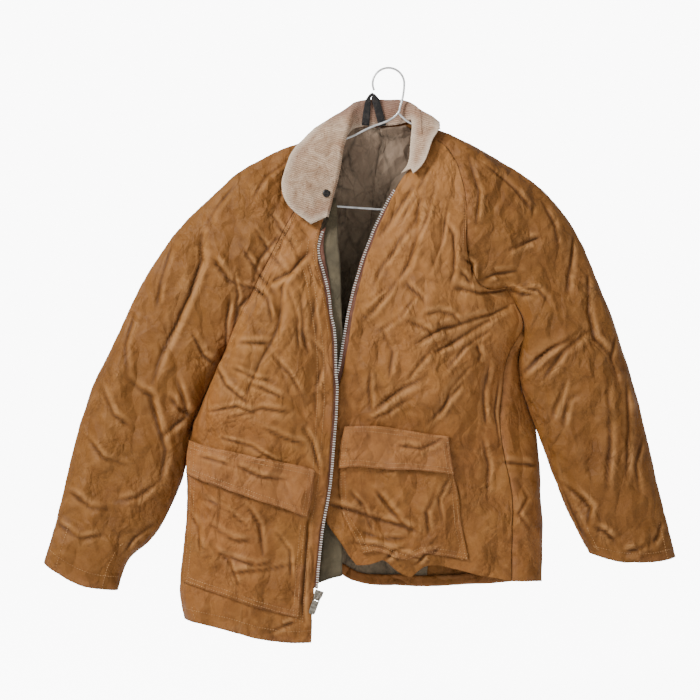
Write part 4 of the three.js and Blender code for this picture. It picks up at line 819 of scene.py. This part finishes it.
hem_facing = cloth("back_hem_facing", "back_hem_facing_cloth", 2, FRONT, pucker=0.2)
moved_by(hem_facing, 1, lambda x, y, z: -0.8)
dressed(hem_facing, "back_hem_facing", tan)


# ---------------------------------------------------------------------------
# Collar: fine-wale corduroy, pale and rubbed on the leaf, mauve-brown on the stand inside
# the neck, with waxed cotton under the leaf. The leaf's edge has gone wavy with wear.
# ---------------------------------------------------------------------------

RIB_PITCH = 2.9  # millimetres
corduroy, w, surface, place = material("corduroy", rough=0.9)
split = w.node("ShaderNodeSeparateXYZ", {0: place})
bend = w.noise(place, 22.0, 2.0)
run = w.math("ADD", w.times(split.outputs[2], 0.94), w.times(split.outputs[0], 0.30))
run = w.math("ADD", run, w.times(bend, 0.012))
ribs = w.math("SINE", w.times(run, 6.2832 / (RIB_PITCH * MM)))
ribs = w.range(ribs, -1.0, 1.0)
nap = w.noise(place, 900.0, 2.0, 0.7)
mottle = w.range(w.noise(place, 38.0, 5.0, 0.65, 1.2), 0.36, 0.64)
blotch = w.range(w.noise(place, 13.0, 3.0, 0.6, 0.5), 0.40, 0.62)
flecks = w.range(w.noise(place, 260.0, 2.0, 0.6), 0.56, 0.72)
depth_y = split.outputs[1]
inside = w.times(w.range(depth_y, -0.012, 0.012), w.range(split.outputs[2], -0.098, -0.060))
colour = w.mix(mottle, linear(178, 142, 112), linear(222, 192, 162))
colour = w.mix(w.times(blotch, 0.55), colour, linear(166, 122, 98))
colour = w.mix(w.times(flecks, 0.55), colour, linear(112, 78, 58))
colour = w.mix(w.times(inside, 0.75), colour, linear(140, 104, 92))
# Painted shade in the grooves between the wales.
colour = w.mix(w.times(w.math("SUBTRACT", 1.0, ribs), 0.5), colour, linear(98, 68, 48))
rubbed = w.times(w.range(stored(w, "edge"), 0.55, 0.95), w.math("SUBTRACT", 0.8, inside))
colour = w.mix(rubbed, colour, linear(222, 200, 176))
w.link(colour, surface.inputs["Base Color"])
soft = w.bump(crinkled(w, place, 34.0)[0], 0.0040, 0.6)
ribbed = w.bump(w.math("ADD", ribs, w.times(nap, 0.5)), 0.0008, 1.0, soft)
w.link(ribbed, surface.inputs["Normal"])
surface.inputs["Sheen Weight"].default_value = 0.1
surface.inputs["Specular IOR Level"].default_value = 0.2

for node, levels, finish, slot, flat, area in (
    ("collar", 3, corduroy, "corduroy", (0.58, 0.13), 0.0320),
    ("under_collar", 2, tan, "waxed_cotton", (0.44, 0.125), 0.0232),
):
    piece = cloth(node, node + "_cloth", levels, FRONT, folded=0.25, pucker=0.0)
    points = points_of(piece)
    x, y, z = points.T
    points[:, 1] += 0.9 * noise2(x, z, 30, 71)
    points[:, 2] += 0.8 * noise2(x, y, 17, 72)
    set_points(piece, points)
    dressed(piece, node, finish)
    main_cloth[node] = (piece, flat, area)


# ---------------------------------------------------------------------------
# Zip: woven tapes sewn behind both front edges, bright metal teeth clamped along them, an
# olive guard hanging behind, and a dark slider left at the foot of the wearer's right side.
# ---------------------------------------------------------------------------

tape_finish, w, surface, place = material("zip_tape", rough=0.85)
grime = w.range(w.noise(place, 60.0, 4.0, 0.6), 0.35, 0.65)
colour = w.mix(grime, linear(104, 66, 50), linear(134, 88, 70))
w.link(colour, surface.inputs["Base Color"])
w.link(w.bump(woven(w, place, 0.7), 0.0002, 0.8), surface.inputs["Normal"])

guard_finish, w, surface, place = material("guard_cloth", rough=0.85)
crinkles, creases = crinkled(w, place, 34.0)
grime = w.range(w.noise(place, 20.0, 4.0, 0.6, 0.6), 0.35, 0.65)
colour = w.mix(grime, linear(78, 69, 50), linear(104, 92, 68))
# Painted shade along the crinkles' creases.
colour = w.mix(w.times(creases, 0.4), colour, linear(58, 52, 34))
w.link(colour, surface.inputs["Base Color"])
small = w.bump(crinkles, 0.0050, 0.8)
w.link(w.bump(woven(w, place, 0.7), 0.0002, 0.5, small), surface.inputs["Normal"])

strips = {}
for node, finish, slot, flat, area in (
    ("zip_tape_right", tape_finish, "zip_tape", (0.0205, 0.56), 0.0078),
    ("zip_tape_left", tape_finish, "zip_tape", (0.016, 0.535), 0.0070),
    ("zip_guard", guard_finish, "guard_cloth", (0.03, 0.59), 0.0115),
):
    strip = cloth(node, node + "_cloth", 2, FRONT, pucker=0.0)
    if node == "zip_guard":  # low down, its free edge reaches further to the wearer's left
        moved_by(strip, 0, lambda x, y, z: 6 * rising(x, -92, -74) * rising(-z, 560, 660))
    dressed(strip, node, finish)
    strips[node] = strip


def tree_of(obj):
    """A search tree over an object's faces, in metres."""
    mesh = obj.data
    return BVHTree.FromPolygons([v.co for v in mesh.vertices], [p.vertices for p in mesh.polygons])


def along_tape(line, tree, spacing=2.0):
    """A line of (x, z) millimetres laid on a tape's face, or level with its nearest place."""
    found = []
    for (x0, z0), (x1, z1) in zip(line[:-1], line[1:]):
        count = max(1, int(math.hypot(x1 - x0, z1 - z0) / spacing))
        for k in range(count):
            x, z = x0 + (x1 - x0) * k / count, z0 + (z1 - z0) * k / count
            hit = tree.ray_cast(Vector((x, -300, z)) * MM, Vector((0, 1, 0)))
            if hit[0] is None:
                hit = tree.find_nearest(Vector((x, found[-1][0].y / MM if found else -40, z)) * MM)
            found.append((Vector((x * MM, hit[0].y, z * MM)), Vector((0, -1, 0))))
    return found


def path_mesh(name, lines, lift):
    """Open lines of (point, normal) as one wire mesh, each point lifted off the cloth."""
    points, edges, normals = [], [], []
    for line in lines:
        first = len(points)
        for k, (p, n) in enumerate(line):
            points.append(p + n * lift)
            normals.append(n)
            if k and (points[-1] - points[-2]).length < 0.012:
                edges.append((first + k - 1, first + k))
    mesh = bpy.data.meshes.new(name)
    mesh.from_pydata(points, edges, [])
    layer = mesh.attributes.new("out", "FLOAT_VECTOR", "POINT")
    layer.data.foreach_set("vector", np.array([c for n in normals for c in n], np.float32))
    return placed(name, mesh)


def repeat_tree(name, build_instance):
    """A geometry tree that sets one small form at a steady pitch along the object's lines.
    Inputs: Pitch and Finish, and Size, Wide and Tall of the form, in metres."""
    tree = bpy.data.node_groups.new(name, "GeometryNodeTree")
    tree.interface.new_socket("Geometry", in_out="INPUT", socket_type="NodeSocketGeometry")
    for label in ("Pitch", "Size", "Wide", "Tall"):
        tree.interface.new_socket(label, in_out="INPUT", socket_type="NodeSocketFloat")
    tree.interface.new_socket("Finish", in_out="INPUT", socket_type="NodeSocketMaterial")
    tree.interface.new_socket("Geometry", in_out="OUTPUT", socket_type="NodeSocketGeometry")
    wires = Wires(tree)
    source = wires.node("NodeGroupInput")
    target = wires.node("NodeGroupOutput")
    link = wires.link
    curve = wires.node("GeometryNodeMeshToCurve", {0: source.outputs["Geometry"]})
    spaced = wires.node("GeometryNodeResampleCurve", mode="LENGTH")
    link(curve.outputs[0], spaced.inputs["Curve"])
    link(source.outputs["Pitch"], spaced.inputs["Length"])
    tangent = wires.node("GeometryNodeInputTangent")
    outward = wires.node("GeometryNodeInputNamedAttribute", {"Name": "out"}, data_type="FLOAT_VECTOR")
    along = wires.node("FunctionNodeAlignEulerToVector", {"Vector": tangent.outputs[0]}, axis="X")
    upright = wires.node(
        "FunctionNodeAlignEulerToVector",
        {"Rotation": along.outputs[0], "Vector": outward.outputs[0]}, axis="Z", pivot_axis="X",
    )
    form = build_instance(wires, source)
    copies = wires.node("GeometryNodeInstanceOnPoints", {
        "Points": spaced.outputs[0], "Instance": form, "Rotation": upright.outputs[0],
    })
    real = wires.node("GeometryNodeRealizeInstances", {0: copies.outputs[0]})
    painted = wires.node("GeometryNodeSetMaterial", {"Geometry": real.outputs[0]})
    link(source.outputs["Finish"], painted.inputs["Material"])
    link(painted.outputs[0], target.inputs[0])
    return tree


def repeated(obj, tree, name, finish, **sizes):
    """The finished repeats as one plain mesh object; the guide lines go."""
    modifier = obj.modifiers.new("repeat", "NODES")
    modifier.node_group = tree
    for item in tree.interface.items_tree:
        if item.item_type == "SOCKET" and item.in_out == "INPUT" and item.name in sizes:
            modifier[item.identifier] = float(sizes[item.name])
        if item.item_type == "SOCKET" and item.name == "Finish":
            modifier[item.identifier] = finish
    bpy.context.view_layer.update()
    mesh = evaluated(obj)
    made = placed(name, mesh)
    bpy.data.objects.remove(obj)
    if not mesh.materials:
        mesh.materials.append(finish)
    return made


def sized(wires, source):
    """The repeat's Size, Wide and Tall as one vector."""
    parts = {number: source.outputs[label] for number, label in enumerate(("Size", "Wide", "Tall"))}
    return wires.node("ShaderNodeCombineXYZ", parts).outputs[0]


def tooth_form(wires, source):
    """One zip tooth: a clamp over the tape and a rounder head past its edge."""
    clamp = wires.node("GeometryNodeMeshCube", {"Size": sized(wires, source)})
    head = wires.node("GeometryNodeMeshUVSphere", {"Segments": 6, "Rings": 4, "Radius": 0.0011})
    aside = wires.node("GeometryNodeTransform", {"Geometry": head.outputs[0]})
    aside.inputs["Translation"].default_value = (0, 0.0011, 0.0002)
    joined = wires.node("GeometryNodeJoinGeometry")
    wires.link(clamp.outputs[0], joined.inputs[0])
    wires.link(aside.outputs[0], joined.inputs[0])
    return joined.outputs[0]


bright, w, surface, place = material("zip_metal", rough=0.35, metal=0.55)
tarnish = w.range(w.noise(place, 160.0, 3.0, 0.6), 0.40, 0.64)
colour = w.mix(tarnish, linear(245, 242, 234), linear(206, 200, 188))
w.link(colour, surface.inputs["Base Color"])
w.link(w.bump(w.noise(place, 900.0, 2.0), 0.0001, 0.4), surface.inputs["Normal"])

teeth_tree = repeat_tree("zip_teeth", tooth_form)
TEETH = {
    "right": [
        (-100, -250), (-104, -262), (-106.5, -276), (-104.5, -290), (-100.5, -302), (-93, -330), (-89, -352),
        (-87, -375), (-82, -395), (-80, -420), (-79.5, -465), (-77.5, -482), (-79, -525), (-82, -560),
        (-85, -600), (-88, -630), (-92, -655), (-97, -680), (-100, -700), (-103, -725), (-106.5, -760),
        (-108, -784),
    ],
    "left": [
        (8, -187), (0, -200), (-9, -217), (-22, -244), (-34, -275), (-43, -302), (-53, -335), (-61, -370),
        (-68, -410), (-74, -450), (-88, -500), (-110, -575), (-110, -640), (-101, -684),
    ],
}
for side, line in TEETH.items():
    tape_tree = tree_of(strips["zip_tape_" + side])
    laid = along_tape(line, tape_tree)
    guide = path_mesh("teeth_guide_" + side, [laid], 0.0004)
    teeth = repeated(
        guide, teeth_tree, "zip_teeth_" + side, bright,
        Pitch=3.7 * MM, Size=1.5 * MM, Wide=3.8 * MM, Tall=2.6 * MM,
    )
    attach(teeth, "jacket")

pewter, w, surface, place = material("pewter", rough=0.42, metal=0.95)
rub = w.range(w.noise(place, 220.0, 4.0, 0.6), 0.38, 0.62)
colour = w.mix(rub, linear(112, 106, 96), linear(172, 164, 150))
w.link(colour, surface.inputs["Base Color"])
w.link(w.range(rub, 0.0, 1.0, 0.5, 0.3), surface.inputs["Roughness"])
w.link(w.bump(w.noise(place, 500.0, 3.0), 0.00015, 0.6), surface.inputs["Normal"])


def softened(node, width, segments=2):
    """A copy of a hard CAD node with its edges rounded."""
    form = merged(node)
    mesh = bpy.data.meshes.new(node + "_soft")
    form.to_mesh(mesh)
    form.free()
    obj = placed(node + "_soft", mesh)
    round_off = obj.modifiers.new("round", "BEVEL")
    round_off.width = width
    round_off.segments = segments
    round_off.limit_method = "ANGLE"
    round_off.angle_limit = math.radians(28)
    fine = evaluated(obj)
    obj.modifiers.remove(round_off)
    obj.data = fine
    smooth(fine)
    fine.set_sharp_from_angle(angle=math.radians(40))
    return obj


for node, width in (("zip_slider", 0.0005), ("zip_pull_tab", 0.0003)):
    body = "zip_pull" if node == "zip_pull_tab" else "jacket"
    dressed(softened(node, width), node, pewter, body)


# ---------------------------------------------------------------------------
# Stitching: tan thread in rows along the hems, the zip edges, the raglan seams, and twice
# round pockets and flaps. Each stitch is a short bead of thread pulled into the cloth.
# ---------------------------------------------------------------------------

GUIDE_STEP = 3.0  # millimetres between the places that guide a row


def inset(line, distance, tree, picked):
    """The stretches of a closed rim that `picked` takes, moved `distance` millimetres in from
    the rim and laid on the finished cloth."""
    count = len(line)
    corners = [(line[k], line[(k + 1) % count]) for k in range(count)]
    inward = math.copysign(1, sum(a.x * b.z - b.x * a.z for a, b in corners))
    runs, current = [], []
    for a, b in corners + corners[:1]:
        ahead = Vector((b.x - a.x, 0, b.z - a.z))
        if ahead.length < 1e-6:
            continue
        ahead.normalize()
        aside = Vector((-ahead.z, 0, ahead.x)) * inward * distance * MM
        steps = max(1, int((b - a).length / (GUIDE_STEP * MM)))
        for step in range(steps):
            p = a.lerp(b, step / steps) + aside
            if picked(p / MM):
                current.append(p)
            elif current:
                runs.append(current)
                current = []
    runs.append(current)
    laid = []
    for run in runs:
        on_cloth = []
        for p in run if len(run) > 3 else []:
            hit = tree.ray_cast(Vector((p.x, p.y - 0.03, p.z)), Vector((0, 1, 0)), 0.06)
            if hit[0] is not None and hit[1].y < -0.3:
                on_cloth.append((hit[0], hit[1]))
                continue
            if len(on_cloth) > 3:
                laid.append(on_cloth)
            on_cloth = []
        if len(on_cloth) > 3:
            laid.append(on_cloth)
    return laid


def stitch_form(wires, source):
    """One stitch: a small long bead."""
    bead = wires.node("GeometryNodeMeshUVSphere", {"Segments": 4, "Rings": 3, "Radius": 0.5})
    inputs = {"Geometry": bead.outputs[0], "Scale": sized(wires, source)}
    return wires.node("GeometryNodeTransform", inputs).outputs[0]


thread, w, surface, place = material("thread", rough=0.75)
age = w.range(w.noise(place, 40.0, 3.0), 0.35, 0.65)
colour = w.mix(age, linear(150, 104, 58), linear(196, 150, 100))
w.link(colour, surface.inputs["Base Color"])
w.link(w.bump(w.noise(place, 1500.0, 2.0), 0.0001, 0.5), surface.inputs["Normal"])

stitch_tree = repeat_tree("stitches", stitch_form)
trees = {name: tree_of(main_cloth[name][0]) for name in main_cloth}
# Piece, how far in from its rim each row runs, and which places have one, in millimetres.
rows = []
for name, distances, pick in (
    ("front_right", (14, 24), lambda p: p.x > -150 and -835 < p.z < -262),
    ("front_right", (18,), lambda p: p.z < -815),
    ("front_left", (10,), lambda p: p.x < 30 and -560 < p.z < -200),
    ("front_left", (18,), lambda p: p.z < -725 and p.x > 60),
    ("front_right", (4,), lambda p: -440 < p.z < -130 and p.x < -90),
    ("front_left", (4,), lambda p: p.z > -330 and p.x > 60),
    ("sleeve_right_front", (22,), lambda p: p.x < -400 and p.z < -690),
    ("sleeve_left_front", (14,), lambda p: p.x > 300 and p.z < -690),
    ("pocket_right", (3, 9), lambda p: p.z < -690 or p.x < -280),
    ("pocket_left", (3, 9), lambda p: p.z < -612),
    ("flap_right", (3, 9), lambda p: True),
    ("flap_left", (3, 9), lambda p: True),
):
    for distance in distances:
        rows += inset(rims[name + "_cloth"], distance, trees[name], pick)
guide = path_mesh("stitch_guide", rows, 0.0002)
stitches = repeated(
    guide, stitch_tree, "stitches", thread,
    Pitch=4.0 * MM, Size=2.8 * MM, Wide=1.1 * MM, Tall=1.0 * MM,
)
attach(stitches, "jacket")


# ---------------------------------------------------------------------------
# Hang loop and snap: a loop of black tape sewn inside the neck, and the black socket of a
# snap set through the collar's leaf.
# ---------------------------------------------------------------------------

black_tape, w, surface, place = material("black_tape", rough=0.85, colour=linear(34, 31, 30))
dust = w.range(w.noise(place, 120.0, 4.0, 0.65), 0.45, 0.7)
w.link(w.mix(dust, linear(30, 28, 28), linear(62, 56, 52)), surface.inputs["Base Color"])
w.link(w.bump(woven(w, place, 1.0), 0.0003, 0.8), surface.inputs["Normal"])
loop = refined("hang_loop", "hang_loop_cloth", 2)
LOOP_LINE = np.array([  # the middle of the tape, which is widened about it to its real width
    (-35, -85), (-33, -65), (-31, -48), (-29, -41), (-25, -38), (-21, -42), (-17, -55), (-13, -70), (-9, -86),
])
points = points_of(loop)
steps = np.linspace(0, len(LOOP_LINE) - 1, 81)
dense = np.stack([np.interp(steps, range(len(LOOP_LINE)), LOOP_LINE[:, k]) for k in (0, 1)], axis=1)
gaps = points[:, None, [0, 2]] - dense[None, :, :]
nearest = np.argmin((gaps ** 2).sum(2), axis=1)
aside = gaps[np.arange(len(points)), nearest]
points[:, [0, 2]] += 0.45 * aside * rising(-points[:, 2], 38, 46)[:, None]
set_points(loop, points)
dressed(loop, "hang_loop", black_tape)

black_metal, w, surface, place = material("black_metal", rough=0.4, metal=0.6)
chips = w.range(w.noise(place, 300.0, 4.0, 0.6), 0.55, 0.7)
w.link(w.mix(chips, linear(38, 35, 34), linear(96, 88, 78)), surface.inputs["Base Color"])
dressed(softened("collar_snap", 0.0006, 3), "collar_snap", black_metal)


# ---------------------------------------------------------------------------
# Hanger: one length of galvanised wire, its two ends twisted together under the hook. It
# goes through both shoulders and its bar crosses inside the chest.
# ---------------------------------------------------------------------------

WIRE_RADIUS, HOOK_RADIUS, HOOK_MIDDLE = 1.75, 24, -22.25  # millimetres
HOOK = [
    (HOOK_RADIUS * math.cos(a), HOOK_MIDDLE + HOOK_RADIUS * math.sin(a))
    for a in np.radians(np.linspace(205, 0, 25))
]
WIRE_ONE = HOOK + [
    (22, -42), (18, -57), (15, -67), (-30, -90), (-68, -107), (-100, -111.5), (-140, -119.6),
    (-176, -136), (-198, -160), (-205, -182), (-203, -195), (-190, -200.5), (-150, -203.6),
    (-77, -209), (4, -215),
]
WIRE_TWO = [
    (2, -214.9), (60, -219.2), (140, -225.2), (196, -229.3), (208, -226), (212, -214), (206, -192),
    (190, -166), (150, -136), (90, -104.5), (56, -89.5), (30, -80.5), (22, -74), (15.5, -67.5),
]
galvanised, w, surface, place = material("bright_wire", rough=0.3, metal=0.6)
streaks = w.range(w.noise(place, 90.0, 4.0, 0.6), 0.36, 0.66)
w.link(w.mix(streaks, linear(236, 236, 236), linear(196, 196, 194)), surface.inputs["Base Color"])
w.link(w.bump(w.noise(place, 700.0, 3.0), 0.0001, 0.4), surface.inputs["Normal"])
rod = bpy.data.curves.new("hanger_wire", "CURVE")
rod.dimensions = "3D"
rod.bevel_depth = WIRE_RADIUS * MM
rod.bevel_resolution = 3
rod.use_fill_caps = True
for line in (WIRE_ONE, WIRE_TWO):
    run = rod.splines.new("BEZIER")
    run.bezier_points.add(len(line) - 1)
    for knot, (x, z) in zip(run.bezier_points, line):
        knot.co = (x * MM, 0, z * MM)
        knot.handle_left_type = knot.handle_right_type = "AUTO"
    run.resolution_u = 5
rod_object = placed("hanger_rod", rod)
hanger = placed("hanger_wire", evaluated(rod_object))
bpy.data.objects.remove(rod_object)
smooth(hanger.data)
dressed(hanger, "hanger", galvanised)


# ---------------------------------------------------------------------------
# The room: a pale plain floor that rises into a pale wall, soft light from above the
# viewer's left with a weaker fill, and a long lens square to the jacket.
# ---------------------------------------------------------------------------

SEEN_WHITE = 9.0  # the room's strength as the camera sees it; it lights the jacket no more for it
FLOOR, SWEEP, BEND_Y, HALF_WIDE, WALL_TOP = -1.02, 1.2, 4.4, 7.0, 5.0  # metres
profile = [(-HALF_WIDE, FLOOR), (BEND_Y, FLOOR)]
profile += [
    (BEND_Y + SWEEP * math.sin(a), FLOOR + SWEEP - SWEEP * math.cos(a))
    for a in np.linspace(0, math.pi / 2, 14)[1:]
]
profile += [(BEND_Y + SWEEP, WALL_TOP)]
room_mesh = bpy.data.meshes.new("room")
room_mesh.from_pydata(
    [(x, y, z) for y, z in profile for x in (-HALF_WIDE, HALF_WIDE)], [],
    [(2 * k, 2 * k + 1, 2 * k + 3, 2 * k + 2) for k in range(len(profile) - 1)],
)
smooth(room_mesh)
room = placed("room", room_mesh)
plain, w, surface, place = material("pale_floor", rough=0.9, colour=linear(250, 250, 250))
colour = w.mix(w.noise(place, 3.0, 2.0), linear(250, 250, 250), linear(247, 247, 247))
w.link(colour, surface.inputs["Base Color"])
surface.inputs["Emission Color"].default_value = (1.0, 1.0, 1.0, 1.0)
seen = w.node("ShaderNodeLightPath").outputs["Is Camera Ray"]
w.link(w.range(seen, 0.0, 1.0, 0.0, SEEN_WHITE), surface.inputs["Emission Strength"])
room_mesh.materials.append(plain)

world = bpy.data.worlds.new("room_light")
world.use_nodes = True
sky = world.node_tree.nodes["Background"]
sky.inputs["Color"].default_value = (1.0, 1.0, 1.0, 1.0)
w = Wires(world.node_tree)
seen = w.node("ShaderNodeLightPath").outputs["Is Camera Ray"]
w.link(w.range(seen, 0.0, 1.0, 0.5, SEEN_WHITE), sky.inputs["Strength"])
bpy.context.scene.world = world


def lamp(name, place, aim, size, power):
    """A soft square light at `place`, turned to `aim`."""
    data = bpy.data.lights.new(name, "AREA")
    data.size = size
    data.energy = power
    obj = placed(name, data)
    obj.location = place
    obj.rotation_euler = (Vector(aim) - Vector(place)).to_track_quat("-Z", "Y").to_euler()


lamp("key", (-2.1, -1.7, 1.5), (-0.05, 0, -0.4), 0.9, 130)
lamp("fill", (1.9, -2.6, 0.0), (-0.05, 0, -0.45), 1.8, 14)

lens = bpy.data.cameras.new("view")
lens.sensor_width = 36
lens.lens = 120
lens.clip_end = 30
camera = placed("view", lens)
camera.location = (-0.0585, -3.55, -0.4275)
camera.rotation_euler = (math.pi / 2, 0, 0)
bpy.context.scene.camera = camera
